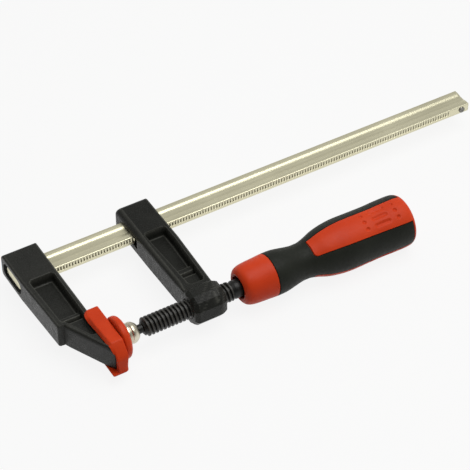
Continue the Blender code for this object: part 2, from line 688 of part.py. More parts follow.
def close_ends(item):
    """Cap the open ends of a swept ridge."""
    shell = bmesh.new()
    shell.from_mesh(item.data)
    rims = [edge for edge in shell.edges if edge.is_boundary]
    bmesh.ops.holes_fill(shell, edges=rims, sides=0)
    bmesh.ops.recalc_face_normals(shell, faces=shell.faces)
    shell.to_mesh(item.data)
    shell.free()
    return item


def make_snap_ring(parts, tools):
    """The split ring that keeps the ball in its socket."""
    outer, inner = RING_OUTER / 2, RING_INNER / 2
    profile = [(0.0, inner), (0.0, outer), (RING_THICKNESS, outer), (RING_THICKNESS, inner)]
    ring = turned("snap_ring", profile, parts, BALL_X + RING_BEHIND_BALL, closed=True, steps=24)
    gap = block("ring_gap", (BALL_X, SCREW_Y, -RING_MOUTH / 2),
                (BALL_X + BALL_SETBACK, SCREW_Y + RING_OUTER, RING_MOUTH / 2), tools)
    return combine(ring, gap)


def make_swivel_pad(parts):
    """The steel swivel pad: a disc and a hub bored out for the ball."""
    disc_front = PAD_FRONT_X + PAD_CAP_FRONT + FIT - BALL_X
    disc_back = disc_front + PAD_DISC_THICKNESS
    hub = HUB_DIAMETER / 2
    socket = BALL_DIAMETER / 2 + SOCKET_CLEARANCE
    groove = RING_OUTER / 2 + SOCKET_CLEARANCE
    groove_front = RING_BEHIND_BALL - FIT
    groove_back = RING_BEHIND_BALL + RING_THICKNESS + FIT
    socket_side = ball_arc(0.0, socket, 0.0, math.pi / 2, 4)
    profile = [(disc_front, 0.0), (disc_front, PAD_DISC_DIAMETER / 2), (disc_back, PAD_DISC_DIAMETER / 2),
               (disc_back, hub), (disc_back + HUB_STRAIGHT - FIT, hub),
               (HUB_END - HUB_DIAMETER / 2 + HUB_END_DIAMETER / 2, HUB_END_DIAMETER / 2 + 3 * FIT),
               (HUB_END, HUB_END_DIAMETER / 2), (HUB_END, socket), (groove_back, socket),
               (groove_back, groove), (groove_front, groove), (groove_front, socket)]
    profile += list(reversed(socket_side))
    return turned("swivel_pad", profile, parts, BALL_X, steps=24)


def make_pad_cap(parts):
    """The round soft cap that clips over the swivel pad's disc."""
    outer = PAD_CAP_DIAMETER / 2
    inner = PAD_DISC_DIAMETER / 2 + FIT
    mouth = HUB_DIAMETER / 2 + 2 * FIT
    disc_back = PAD_CAP_FRONT + PAD_DISC_THICKNESS + 2 * FIT
    profile = [(0.0, 0.0), (0.0, outer - PAD_CAP_RIM), (PAD_CAP_RIM, outer)]
    steps = 4
    shoulder = PAD_CAP_LENGTH - PAD_CAP_BACK_ROUND
    reach = outer - mouth - FIT
    for step in range(steps + 1):
        angle = math.pi / 2 * step / steps
        profile.append((shoulder + PAD_CAP_BACK_ROUND * math.sin(angle),
                        outer - reach * (1 - math.cos(angle))))
    profile += [(PAD_CAP_LENGTH, mouth), (disc_back, mouth), (disc_back, inner),
                (PAD_CAP_FRONT, inner), (PAD_CAP_FRONT, 0.0)]
    return turned("pad_cap", profile, parts, PAD_FRONT_X)


def handle_outline(start_share=0.0, wall=0.0, end_share=1.0):
    """Points down the handle's outside, moved in by a wall, between two shares of its length."""
    points = []
    for share, width in HANDLE_PROFILE_SHARES:
        if start_share < share <= end_share:
            points.append((share * HANDLE_LENGTH, width * HANDLE_DIAMETER / 2 - wall))
    return points


def radius_at(share):
    """The handle's outer radius at a share of its length."""
    table = HANDLE_PROFILE_SHARES
    for (before, low), (after, high) in zip(table, table[1:]):
        if before <= share <= after:
            return (low + (high - low) * (share - before) / (after - before)) * HANDLE_DIAMETER / 2
    return table[-1][1] * HANDLE_DIAMETER / 2


def window_sector(name, index, gap, group):
    """A slab-sided sector behind one window of the grip."""
    inner = END_BUTTON_DIAMETER / 2 - GRIP_WALL - gap
    outer = HANDLE_DIAMETER / 2 + OVERRUN
    centre = math.pi / 2 + WINDOW_CENTRE_ANGLE + 2 * math.pi * index / WINDOWS
    half = WINDOW_HALF_ANGLE + gap / outer
    steps = 6
    spokes = [centre - half + 2 * half * step / steps for step in range(steps + 1)]
    outer = outer / math.cos(half / steps)
    ring = [(outer * math.cos(spoke), outer * math.sin(spoke)) for spoke in spokes]
    hub = [(inner * math.cos(spoke), inner * math.sin(spoke)) for spoke in reversed(spokes)]
    start = HANDLE_START_X + WINDOW_START_SHARE * HANDLE_LENGTH - gap
    end = HANDLE_END_X + OVERRUN
    return slab(name, ring + hub, end - start, group, ((start + end) / 2, SCREW_Y, 0.0), ALONG_X)


def make_handle_core(parts, tools):
    """The hard plastic core: ferrule, stem and the three raised panels."""
    collar = RECESS_DIAMETER / 2
    bore = SHANK_DIAMETER / 2 + FIT
    bore_end = RECESS_DEPTH + SHANK_LENGTH
    end_wall = HANDLE_LENGTH - GRIP_WALL - FIT
    under = GRIP_WALL + FIT
    profile = [(bore_end, 0.0), (bore_end, bore), (RECESS_DEPTH, bore), (RECESS_DEPTH, collar),
               (0.0, collar), (0.0, FRONT_FACE_DIAMETER / 2)]
    profile += handle_outline(0.0, 0.0, FERRULE_SHARE)
    step_x = FERRULE_SHARE * HANDLE_LENGTH
    profile += [(step_x, radius_at(FERRULE_SHARE)), (step_x, radius_at(FERRULE_SHARE) - under)]
    profile += handle_outline(FERRULE_SHARE, under, end_wall / HANDLE_LENGTH)
    profile += [(end_wall, radius_at(end_wall / HANDLE_LENGTH) - under - FIT),
                (end_wall, END_BUTTON_DIAMETER / 2 - FIT),
                (HANDLE_LENGTH, END_BUTTON_DIAMETER / 2 - FIT), (HANDLE_LENGTH, 0.0)]
    core = turned("handle_core", profile, parts, HANDLE_START_X)
    for index in range(WINDOWS):
        skin = [(step_x, 0.0), (step_x, radius_at(FERRULE_SHARE))]
        skin += handle_outline(FERRULE_SHARE) + [(HANDLE_LENGTH, 0.0)]
        panel = tool(turned(f"handle_panel_{index}", skin, tools, HANDLE_START_X))
        combine(panel, window_sector(f"panel_sector_{index}", index, 0.0, tools), "INTERSECT")
        combine(core, panel, "UNION")
    return core


def make_soft_grip(parts, tools):
    """The soft black sleeve moulded over the core, open at three windows."""
    start = FERRULE_SHARE * HANDLE_LENGTH + FIT
    end_share = 1 - GRIP_WALL / HANDLE_LENGTH
    profile = [(start, radius_at(FERRULE_SHARE) - GRIP_WALL), (start, radius_at(FERRULE_SHARE))]
    profile += handle_outline(FERRULE_SHARE)
    inner = handle_outline(FERRULE_SHARE, GRIP_WALL, end_share)
    inner_end = HANDLE_LENGTH - GRIP_WALL
    profile += [(HANDLE_LENGTH, END_BUTTON_DIAMETER / 2), (inner_end, END_BUTTON_DIAMETER / 2),
                (inner_end, radius_at(end_share) - GRIP_WALL)]
    profile += list(reversed(inner))
    grip = turned("soft_grip", profile, parts, HANDLE_START_X, closed=True)
    for index in range(WINDOWS):
        combine(grip, window_sector(f"grip_window_{index}", index, FIT, tools))
    return grip


def build():
    """Make every part and hang it on the axis that it moves about."""
    clear_scene()
    parts = new_collection("quick_release_clamp")
    tools = new_collection("cutters")
    steel = paint("drawn_steel", (0.62, 0.60, 0.52), 0.32, 1.0)
    black_iron = paint("black_painted_iron", (0.02, 0.021, 0.018), 0.42)
    black_steel = paint("blacked_steel", (0.018, 0.018, 0.016), 0.38, 0.4)
    bright_steel = paint("plated_steel", (0.70, 0.68, 0.62), 0.2, 1.0)
    pin_steel = paint("hardened_steel", (0.32, 0.32, 0.32), 0.35, 1.0)
    red_soft = paint("red_soft_plastic", (0.60, 0.06, 0.02), 0.45)
    red_hard = paint("red_hard_plastic", (0.62, 0.055, 0.018), 0.38)
    black_rubber = paint("black_soft_rubber", (0.022, 0.023, 0.02), 0.6)

    slide_axis = axis_mark("arm_slide_axis", (GRIP_X, GRIP_Y, 0.0), parts)
    rock_axis = axis_mark("arm_rock_axis", (GRIP_X, GRIP_Y, 0.0), parts, slide_axis)
    screw_axis = axis_mark("screw_axis", (BALL_X, SCREW_Y, 0.0), parts, rock_axis)
    pad_axis = axis_mark("pad_tilt_axis", (BALL_X, SCREW_Y, 0.0), parts, screw_axis)

    finish(make_bar(parts, tools), steel)
    finish(make_stop(parts, tools), pin_steel)
    finish(make_fixed_jaw(parts, tools), black_iron)
    finish(make_jaw_cap(parts, tools), red_soft)
    finish(make_grip_pin(parts), pin_steel, slide_axis)
    finish(make_arm(parts, tools), black_iron, rock_axis)
    finish(make_screw(parts, tools), black_steel, screw_axis)
    finish(make_snap_ring(parts, tools), pin_steel, screw_axis)
    finish(make_swivel_pad(parts), bright_steel, pad_axis)
    finish(make_pad_cap(parts), red_soft, pad_axis)
    finish(make_handle_core(parts, tools), red_hard, screw_axis)
    finish(make_soft_grip(parts, tools), black_rubber, screw_axis)


build()
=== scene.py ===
import math

import bmesh
import bpy
import numpy as np
from mathutils import Matrix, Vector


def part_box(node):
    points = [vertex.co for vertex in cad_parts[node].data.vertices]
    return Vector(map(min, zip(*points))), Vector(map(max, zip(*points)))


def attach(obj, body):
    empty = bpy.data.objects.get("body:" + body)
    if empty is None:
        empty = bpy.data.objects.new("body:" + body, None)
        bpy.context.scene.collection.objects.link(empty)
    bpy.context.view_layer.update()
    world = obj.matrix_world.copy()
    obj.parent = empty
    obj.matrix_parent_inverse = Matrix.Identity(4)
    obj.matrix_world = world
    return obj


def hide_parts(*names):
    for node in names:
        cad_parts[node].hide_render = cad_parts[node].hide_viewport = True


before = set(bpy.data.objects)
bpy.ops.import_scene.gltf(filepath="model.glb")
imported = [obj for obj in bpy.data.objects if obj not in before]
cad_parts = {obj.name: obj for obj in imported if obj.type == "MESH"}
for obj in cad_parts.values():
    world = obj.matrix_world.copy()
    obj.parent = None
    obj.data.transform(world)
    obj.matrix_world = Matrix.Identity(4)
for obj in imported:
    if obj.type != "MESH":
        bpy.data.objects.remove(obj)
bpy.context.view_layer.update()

MM = 0.001

# Studio. A pale floor the clamp lies on, one large soft lamp overhead to the right of it, and
# a camera high on the left, where the photograph was taken from.
FLOOR_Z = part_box("soft_grip")[0].z
EYE = (-362.226 * MM, -912.477 * MM, 955.142 * MM)
RIGHT = (0.859838, -0.510567, 0.0)
UP = (0.350133, 0.589653, 0.727816)
BACK = (-0.371599, -0.625804, 0.685772)

camera = bpy.data.objects.new("camera", bpy.data.cameras.new("camera"))
camera.data.sensor_width = 36.0
camera.data.lens = 149.53
camera.data.clip_start = 0.05
camera.data.clip_end = 20.0
camera.matrix_world = Matrix((
    (RIGHT[0], UP[0], BACK[0], EYE[0]),
    (RIGHT[1], UP[1], BACK[1], EYE[1]),
    (RIGHT[2], UP[2], BACK[2], EYE[2]),
    (0.0, 0.0, 0.0, 1.0)))
bpy.context.scene.collection.objects.link(camera)
bpy.context.scene.camera = camera
bpy.context.scene.view_settings.view_transform = "Standard"


def node(tree, kind, inputs=None, **settings):
    """One node: settings are its properties, inputs its sockets, each a value or another node's output."""
    made = tree.nodes.new(kind)
    for key, value in settings.items():
        setattr(made, key, value)
    for key, value in (inputs or {}).items():
        if isinstance(value, bpy.types.NodeSocket):
            tree.links.new(value, made.inputs[key])
        else:
            made.inputs[key].default_value = value
    return made


def lamp(name, place, size, watts, target):
    """Hangs a square soft lamp at a place, turned to face a target point."""
    light = bpy.data.lights.new(name, "AREA")
    light.size = size
    light.energy = watts
    item = bpy.data.objects.new(name, light)
    away = np.array(place) - np.array(target)
    away = away / np.linalg.norm(away)
    side = np.cross((0.0, 1.0, 0.0), away)
    side = side / np.linalg.norm(side)
    top = np.cross(away, side)
    rows = [(side[k], top[k], away[k], place[k]) for k in range(3)]
    item.matrix_world = Matrix([*rows, (0.0, 0.0, 0.0, 1.0)])
    bpy.context.scene.collection.objects.link(item)


lamp("overhead", (0.34, -0.185, 0.95), 0.8, 6.9, (0.14, -0.04, 0.0))

# The sky is bright low down, dimmer overhead, and dark behind the camera.
sky = bpy.data.worlds.new("sky")
sky.use_nodes = True
room = sky.node_tree
room.nodes.clear()
aim = node(room, "ShaderNodeSeparateXYZ", {0: node(room, "ShaderNodeTexCoord").outputs["Generated"]})
level = node(room, "ShaderNodeMapRange", {"Value": aim.outputs["Z"], "From Min": 0.1, "From Max": 0.45,
                                          "To Min": 0.8, "To Max": 0.46})
across = node(room, "ShaderNodeMath", {0: aim.outputs["X"], 1: aim.outputs["Y"]}, operation="ADD")
ahead = node(room, "ShaderNodeMapRange", {"Value": across.outputs[0], "From Min": -1.1, "From Max": 0.1,
                                          "To Min": 0.12, "To Max": 1.0})
level = node(room, "ShaderNodeMath", {0: level.outputs[0], 1: ahead.outputs[0]}, operation="MULTIPLY")
shine = node(room, "ShaderNodeBackground", {"Color": (1.0, 1.0, 0.985, 1.0), "Strength": level.outputs[0]})
node(room, "ShaderNodeOutputWorld", {"Surface": shine.outputs[0]})
bpy.context.scene.world = sky

paper = bpy.data.materials.new("floor_paper")
paper.use_nodes = True
sheet = paper.node_tree
fibre = node(sheet, "ShaderNodeTexNoise", {"Scale": 60.0, "Detail": 6.0})
shade = node(sheet, "ShaderNodeValToRGB", {"Fac": fibre.outputs["Fac"]})
shade.color_ramp.elements[0].color = (0.63, 0.63, 0.62, 1.0)
shade.color_ramp.elements[1].color = (0.67, 0.67, 0.66, 1.0)
sheet.links.new(shade.outputs[0], sheet.nodes["Principled BSDF"].inputs["Base Color"])
sheet.nodes["Principled BSDF"].inputs["Roughness"].default_value = 0.9
glow = node(sheet, "ShaderNodeEmission", {"Color": (1.0, 1.0, 1.0, 1.0), "Strength": 1.0})
path = node(sheet, "ShaderNodeLightPath")
seen = node(sheet, "ShaderNodeMath", {0: path.outputs["Is Camera Ray"], 1: path.outputs["Is Glossy Ray"]},
            operation="MAXIMUM")
seen = node(sheet, "ShaderNodeMath", {0: seen.outputs[0], 1: path.outputs["Is Transmission Ray"]},
            operation="MAXIMUM")
lift = node(sheet, "ShaderNodeMath", {0: seen.outputs[0], 1: 0.88}, operation="MULTIPLY")
blend = node(sheet, "ShaderNodeMixShader", {0: lift.outputs[0], 1: sheet.nodes["Principled BSDF"].outputs[0],
                                            2: glow.outputs[0]})
sheet.links.new(blend.outputs[0], sheet.nodes["Material Output"].inputs["Surface"])
floor_mesh = bpy.data.meshes.new("floor")
floor_mesh.from_pydata([(x, y, FLOOR_Z) for x, y in ((-6.0, -6.0), (6.0, -6.0), (6.0, 6.0), (-6.0, 6.0))],
                       [], [(0, 1, 2, 3)])
floor_mesh.materials.append(paper)
floor = bpy.data.objects.new("floor", floor_mesh)
bpy.context.scene.collection.objects.link(floor)

# Bar. Cold drawn steel rail with a shallow groove in both wide sides, satin plated. Teeth
# are cut in the edge that faces the screw, and its front end is riveted over to an oval head.
BAR_LENGTH = 382.5
BAR_EDGE = 9.0
BAR_HALF = 3.45
BAR_CORNER = 0.7
BAR_CHAMFER = 0.35
RAIL_FOOT = 5.3
GROOVE_FOOT = 2.1
GROOVE_DEPTH = 0.7
TEETH_START = 29.0
TOOTH_PITCH = 2.3
TOOTH_LAND = 0.5
TOOTH_DEPTH = 0.8
TOOTH_COUNT = 146
TOOTH_TOP = 2.4
TOOTH_FOOT = -0.7
HEAD_REACH = 11.3
HEAD_HALF = 3.6
HEAD_DEPTH = 1.5


def group(name, inputs, outputs):
    """A shader node group with named number inputs and outputs, and its two end nodes."""
    tree = bpy.data.node_groups.new(name, "ShaderNodeTree")
    for label, value in inputs.items():
        tree.interface.new_socket(label, in_out="INPUT", socket_type="NodeSocketFloat").default_value = value
    for label in outputs:
        tree.interface.new_socket(label, in_out="OUTPUT", socket_type="NodeSocketFloat")
    return tree, tree.nodes.new("NodeGroupInput"), tree.nodes.new("NodeGroupOutput")


def ramp(tree, mask, *stops):
    """The colour at a mask's value, between (place, colour) stops."""
    made = node(tree, "ShaderNodeValToRGB", {"Fac": mask})
    band = made.color_ramp.elements
    while len(band) < len(stops):
        band.new(0.5)
    for spot, (place, colour) in zip(band, stops):
        spot.position = place
        spot.color = (*colour, 1.0)
    return made.outputs[0]


def span(tree, mask, low, high, start=0.0, end=1.0):
    """A mask's values from low to high carried to values from start to end."""
    return node(tree, "ShaderNodeMapRange", {"Value": mask, "From Min": low, "From Max": high,
                                             "To Min": start, "To Max": end}).outputs[0]


def reckon(tree, operation, first, second):
    """One sum on two masks or numbers."""
    return node(tree, "ShaderNodeMath", {0: first, 1: second}, operation=operation).outputs[0]


def blend_colour(tree, mask, under, over):
    """One colour over another where the mask is 1."""
    made = node(tree, "ShaderNodeMix", {0: mask}, data_type="RGBA")
    for slot, colour in ((6, under), (7, over)):
        if isinstance(colour, tuple):
            made.inputs[slot].default_value = (*colour, 1.0)
        else:
            tree.links.new(colour, made.inputs[slot])
    return made.outputs[2]


def coat_of(name, **same):
    """A new material, its node tree and its Principled shader, with what is the same all over."""
    made = bpy.data.materials.new(name)
    made.use_nodes = True
    shader = made.node_tree.nodes["Principled BSDF"]
    for key, value in same.items():
        shader.inputs[key.replace("_", " ")].default_value = value
    return made, made.node_tree, shader


def relief(tree, shader, height, depth):
    """Raises a surface by a height mask, depth in metres."""
    bump = node(tree, "ShaderNodeBump", {"Height": height, "Distance": depth, "Strength": 1.0})
    tree.links.new(bump.outputs[0], shader.inputs["Normal"])


# Lengthwise drawing lines: noise stretched far along X, fine and coarse.
drawn_lines, given, result = group("drawn_lines", {"Fineness": 900.0, "Stretch": 0.006}, ("Height", "Tone"))
spot = node(drawn_lines, "ShaderNodeTexCoord").outputs["Object"]
stretch = node(drawn_lines, "ShaderNodeCombineXYZ", {"X": given.outputs["Stretch"], "Y": 1.0, "Z": 1.0})
spot = node(drawn_lines, "ShaderNodeVectorMath", {0: spot, 1: stretch.outputs[0]}, operation="MULTIPLY")
spot = spot.outputs[0]
fine = node(drawn_lines, "ShaderNodeTexNoise", {"Vector": spot, "Scale": given.outputs["Fineness"],
                                               "Detail": 4.0})
rate = reckon(drawn_lines, "MULTIPLY", given.outputs["Fineness"], 0.28)
wide = node(drawn_lines, "ShaderNodeTexNoise", {"Vector": spot, "Scale": rate, "Detail": 2.0})
drawn_lines.links.new(fine.outputs["Fac"], result.inputs["Height"])
drawn_lines.links.new(wide.outputs["Fac"], result.inputs["Tone"])

# Uneven tone: soft patches a few centimetres across and a finer mottle over them.
mottle, given, result = group("mottle", {"Patches": 40.0, "Specks": 700.0}, ("Tone", "Speck"))
spot = node(mottle, "ShaderNodeTexCoord").outputs["Object"]
wide = node(mottle, "ShaderNodeTexNoise", {"Vector": spot, "Scale": given.outputs["Patches"], "Detail": 5.0})
fine = node(mottle, "ShaderNodeTexNoise", {"Vector": spot, "Scale": given.outputs["Specks"], "Detail": 2.0})
mottle.links.new(wide.outputs["Fac"], result.inputs["Tone"])
mottle.links.new(fine.outputs["Fac"], result.inputs["Speck"])


def grid_faces(rows, columns, looped):
    """Corner numbers of the quads between rows of closed loops; looped joins the last row to the first."""
    row = np.arange(rows if looped else rows - 1)[:, None]
    column = np.arange(columns)[None, :]
    below, after = (row + 1) % rows, (column + 1) % columns
    here, there = row * columns, below * columns
    return np.stack([here + column, here + after, there + after, there + column], -1).reshape(-1, 4)


def shell(name, *sheets, marks=None, looped=False, flat_ends=False):
    """A closed surface from grids of points in millimetres, in which each row is a closed loop.

    The first and last rows are drawn in to their own middles, or closed by one flat face each,
    unless the rows themselves are looped. Doubles are merged and all faces turned outwards.
    marks holds a number per point.
    """
    points, faces, values, count = [], [], [], 0
    for order, sheet in enumerate(sheets):
        mark = np.zeros(sheet.shape[:2]) if marks is None else marks[order]
        if not looped and not flat_ends:
            ends = [np.broadcast_to(row.mean(0), (1, *row.shape)) for row in (sheet[0], sheet[-1])]
            sheet = np.concatenate([ends[0], sheet, ends[1]])
            mark = np.concatenate([mark[:1], mark, mark[-1:]])
        points.append(sheet.reshape(-1, 3))
        values.append(mark.reshape(-1))
        faces += (grid_faces(sheet.shape[0], sheet.shape[1], looped) + count).tolist()
        if flat_ends:
            first = np.arange(sheet.shape[1]) + count
            faces += [first.tolist(), (first + (sheet.shape[0] - 1) * sheet.shape[1]).tolist()]
        count += sheet.shape[0] * sheet.shape[1]
    mesh = bpy.data.meshes.new(name)
    mesh.from_pydata((np.concatenate(points) * MM).tolist(), [], faces)
    mark = mesh.attributes.new("mark", "FLOAT", "POINT")
    mark.data.foreach_set("value", np.concatenate(values).astype("f"))
    work = bmesh.new()
    work.from_mesh(mesh)
    bmesh.ops.remove_doubles(work, verts=work.verts, dist=2e-7)
    bmesh.ops.recalc_face_normals(work, faces=work.faces)
    work.to_mesh(mesh)
    work.free()
    item = bpy.data.objects.new(name, mesh)
    bpy.context.scene.collection.objects.link(item)
    return item


def dress(item, coat, body, slot, *nodes, crease=40.0):
    """Gives a piece its material and its smooth shading, hangs it on the empty of the body it rides on, and
    hides the parts of model.glb that it stands for.
    """
    item.data.materials.clear()
    item.data.materials.append(coat)
    item.data.shade_smooth()
    item.data.set_sharp_from_angle(angle=math.radians(crease))
    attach(item, body)
    if nodes:
        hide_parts(*nodes)
    return item


def stations(*stops):
    """Places from stop to stop, each stop a (place, number of steps to the next)."""
    runs = [np.linspace(first, second, steps, endpoint=False)
            for (first, steps), (second, _) in zip(stops, stops[1:])]
    return np.concatenate([*runs, [stops[-1][0]]])


def ease(value):
    """The smooth step 3t^2 - 2t^3 of a value held between 0 and 1."""
    value = np.clip(value, 0.0, 1.0)
    return value * value * (3.0 - 2.0 * value)


across = stations((BAR_EDGE - BAR_CORNER, 4), (RAIL_FOOT + 0.5, 9), (GROOVE_FOOT - 0.5, 4), (0.0, 0))
across = np.concatenate([across, -across[-2::-1]])
fall = np.clip((RAIL_FOOT - np.abs(across)) / (RAIL_FOOT - GROOVE_FOOT), 0.0, 1.0)
level = BAR_HALF - GROOVE_DEPTH * ease(fall)
turn = np.radians(np.linspace(90.0, 0.0, 6))[1:]
corner = np.stack([BAR_EDGE - BAR_CORNER + BAR_CORNER * np.cos(turn),
                   BAR_HALF - BAR_CORNER + BAR_CORNER * np.sin(turn)], -1)
lift = np.array([2.75, 2.6, TOOTH_TOP, 1.6, 0.9, 0.2, TOOTH_FOOT, TOOTH_FOOT - 0.15, -2.3])
near_edge = np.stack([np.full(lift.shape, -BAR_EDGE), lift], -1)
upper = np.stack([across, level], -1)
section = np.concatenate([upper, corner * np.array([-1.0, 1.0]), near_edge,
                          corner[::-1] * -1.0, upper[::-1] * np.array([1.0, -1.0]),
                          corner * np.array([1.0, -1.0]), near_edge[::-1] * np.array([-1.0, 1.0]),
                          corner[::-1]])
bite = ((section[:, 1] <= TOOTH_TOP + 0.01) & (section[:, 1] >= TOOTH_FOOT - 0.01)
        & (section[:, 0] < -BAR_EDGE + 0.01))
in_pitch = np.array([0.0, TOOTH_LAND, 0.9, 1.25, 1.4, 1.55, 1.9])
in_depth = np.array([0.0, 0.0, 0.45, 0.9, 1.0, 0.9, 0.45]) * TOOTH_DEPTH
teeth_x = (TEETH_START + TOOTH_PITCH * np.arange(TOOTH_COUNT)[:, None] + in_pitch).reshape(-1)
teeth_end = TEETH_START + TOOTH_PITCH * TOOTH_COUNT
plain_x = stations((HEAD_DEPTH - 0.5, 20), (TEETH_START - 0.1, 0))
along = np.concatenate([plain_x, teeth_x, stations((teeth_end, 12), (BAR_LENGTH - BAR_CHAMFER, 2),
                                                   (BAR_LENGTH, 0))])
depth = np.zeros(along.shape)
depth[plain_x.size:plain_x.size + teeth_x.size] = np.tile(in_depth, TOOTH_COUNT)
rail = np.empty((along.size, section.shape[0], 3))
rail[..., 0] = along[:, None]
rail[..., 1] = section[:, 0] + depth[:, None] * bite
rail[..., 2] = section[:, 1]
trim = np.clip(along - (BAR_LENGTH - BAR_CHAMFER), 0.0, BAR_CHAMFER)[:, None]
rail[..., 1] -= np.sign(rail[..., 1]) * trim * (np.abs(rail[..., 1]) > BAR_EDGE - 1.0)
rail[..., 2] -= np.sign(rail[..., 2]) * trim * (np.abs(rail[..., 2]) > BAR_HALF - 1.2)
turn = np.radians(np.arange(0.0, 360.0, 5.0))
rim = np.stack([np.cos(turn) * HEAD_HALF + np.sign(np.round(np.cos(turn), 6)) * (HEAD_REACH - HEAD_HALF),
                np.sin(turn) * HEAD_HALF], -1)
inward = np.array([0.0, 0.25, 0.5, 0.75, 0.93, 0.985, 1.0, 1.0])
crown = np.array([0.0, 0.02, 0.05, 0.1, 0.22, 0.42, 0.65, HEAD_DEPTH])
head_rows = np.empty((inward.size, turn.size, 3))
head_rows[..., 0] = crown[:, None]
head_rows[..., 1] = inward[:, None] * rim[:, 0]
head_rows[..., 2] = inward[:, None] * rim[:, 1]

drawn_steel, tree, shader = coat_of("drawn_steel", Metallic=1.0, IOR=2.5)
lines = node(tree, "ShaderNodeGroup", node_tree=drawn_lines)
patch = node(tree, "ShaderNodeGroup", {"Patches": 18.0, "Specks": 420.0}, node_tree=mottle)
tone = reckon(tree, "ADD", reckon(tree, "MULTIPLY", lines.outputs["Tone"], 0.55),
              reckon(tree, "MULTIPLY", patch.outputs["Tone"], 0.45))
metal = ramp(tree, tone, (0.35, (0.68, 0.645, 0.46)), (0.65, (0.82, 0.785, 0.58)))
# Painted shade: the steel's colour is darkened in the tooth gaps and round the rim of the riveted head.
recess_shade = node(tree, "ShaderNodeAttribute", attribute_name="mark").outputs["Fac"]
metal = blend_colour(tree, span(tree, recess_shade, 0.3, 1.0), metal, (0.12, 0.115, 0.09))
tree.links.new(metal, shader.inputs["Base Color"])
tree.links.new(span(tree, tone, 0.3, 0.7, 0.32, 0.46), shader.inputs["Roughness"])
relief(tree, shader, lines.outputs["Height"], 0.00006)
# Painted shade masks: deepest at the bottom of each tooth gap, and round the outer rim of the riveted head.
teeth_shade = np.broadcast_to((depth / TOOTH_DEPTH)[:, None], rail.shape[:2]) * bite
head_rim_shade = np.broadcast_to(np.array([0.0, 0.0, 0.0, 0.0, 0.35, 0.8, 1.0, 1.0])[:, None], head_rows.shape[:2])
bar = shell("bar_rail", rail, head_rows, marks=[teeth_shade, head_rim_shade])
dress(bar, drawn_steel, "frame", "drawn_steel", "bar", crease=50.0)


# End stop pin. Ground dowel pressed into the toothed edge near the bar's free end, so that
# the arm can't slide off. It stands a millimetre proud, with a centre mark in its end.
def turned(name, outline, middle, axis, steps=64):
    """A turned piece: (distance along the axis, radius) points swung round an axis through middle."""
    outline = np.asarray(outline, float)
    turn = np.radians(np.linspace(0.0, 360.0, steps, endpoint=False))
    rows = np.empty((len(outline), steps, 3))
    side, up = (axis + 1) % 3, (axis + 2) % 3
    rows[..., axis] = outline[:, :1] + middle[axis]
    rows[..., side] = outline[:, 1:] * np.cos(turn) + middle[side]
    rows[..., up] = outline[:, 1:] * np.sin(turn) + middle[up]
    return shell(name, rows)


def turned_steel(name, patches, specks, dark, light, gloss):
    """Bare or plated steel: mottled between two colours and two roughnesses, and faintly pitted."""
    made, tree, shader = coat_of(name, Metallic=1.0)
    patch = node(tree, "ShaderNodeGroup", {"Patches": patches, "Specks": specks}, node_tree=mottle)
    tree.links.new(ramp(tree, patch.outputs["Tone"], (0.3, dark), (0.7, light)), shader.inputs["Base Color"])
    tree.links.new(span(tree, patch.outputs["Speck"], 0.3, 0.7, *gloss), shader.inputs["Roughness"])
    relief(tree, shader, patch.outputs["Speck"], 0.00003)
    return made


pin_steel = turned_steel("pin_steel", 260.0, 2600.0, (0.16, 0.155, 0.14), (0.34, 0.33, 0.3), (0.28, 0.45))
stop = turned("end_stop", [(0.5, 0.0), (0.45, 0.35), (0.05, 0.75), (0.0, 1.0), (0.02, 1.9), (0.12, 2.2),
                           (0.4, 2.4), (7.0, 2.4)], (376.0, -10.0, 0.0), 1)
dress(stop, pin_steel, "frame", "pin_steel", "end_stop_pin")


# Fixed jaw. Grey iron casting painted black, riveted on the front of the bar. Both faces
# are pocketed between thin rails, with a cross rib and a slot above the nose.
CASTING_HALF = 9.5
DRAFT = 2.0
FACE_ROUND = 1.0
FLOOR_LEVEL = 2.0
RIB_HEIGHT = 2.6


def sunk(inside):
    """How deep a drafted pocket wall has gone at a distance inside its rim, 0 to 1.

    The wall rounds over the rim, falls steeply and runs out in a fillet at the floor: the
    share s of the draft becomes (s - k + k exp(-s / k)) / (1 - k), then 1 - (1 - s)^2.4.
    """
    share = np.maximum(inside, 0.0) / DRAFT
    lip = 0.16
    share = (share - lip * (1.0 - np.exp(-share / lip))) / (1.0 - lip)
    return 1.0 - (1.0 - np.clip(share, 0.0, 1.0)) ** 2.4


def rounding(value):
    """The drop of a quarter circle, 1 - sqrt(1 - v^2), at a value held between 0 and 1."""
    return 1.0 - np.sqrt(1.0 - np.clip(value, 0.0, 1.0) ** 2)


def stripe(distance, width=0.46):
    """A soft line where a distance is zero: exp(-(distance / width)^2)."""
    return np.exp(-(distance / width) ** 2)


def within(left, right, top, foot, x, y, round_off):
    """Distance inside a four-sided outline with rounded corners."""
    aside = round_off - np.minimum(x - left, right - x)
    ahead = round_off - np.minimum(top - y, y - foot)
    past_corner = np.hypot(np.maximum(aside, 0.0), np.maximum(ahead, 0.0))
    return round_off - past_corner - np.minimum(np.maximum(aside, ahead), 0.0)


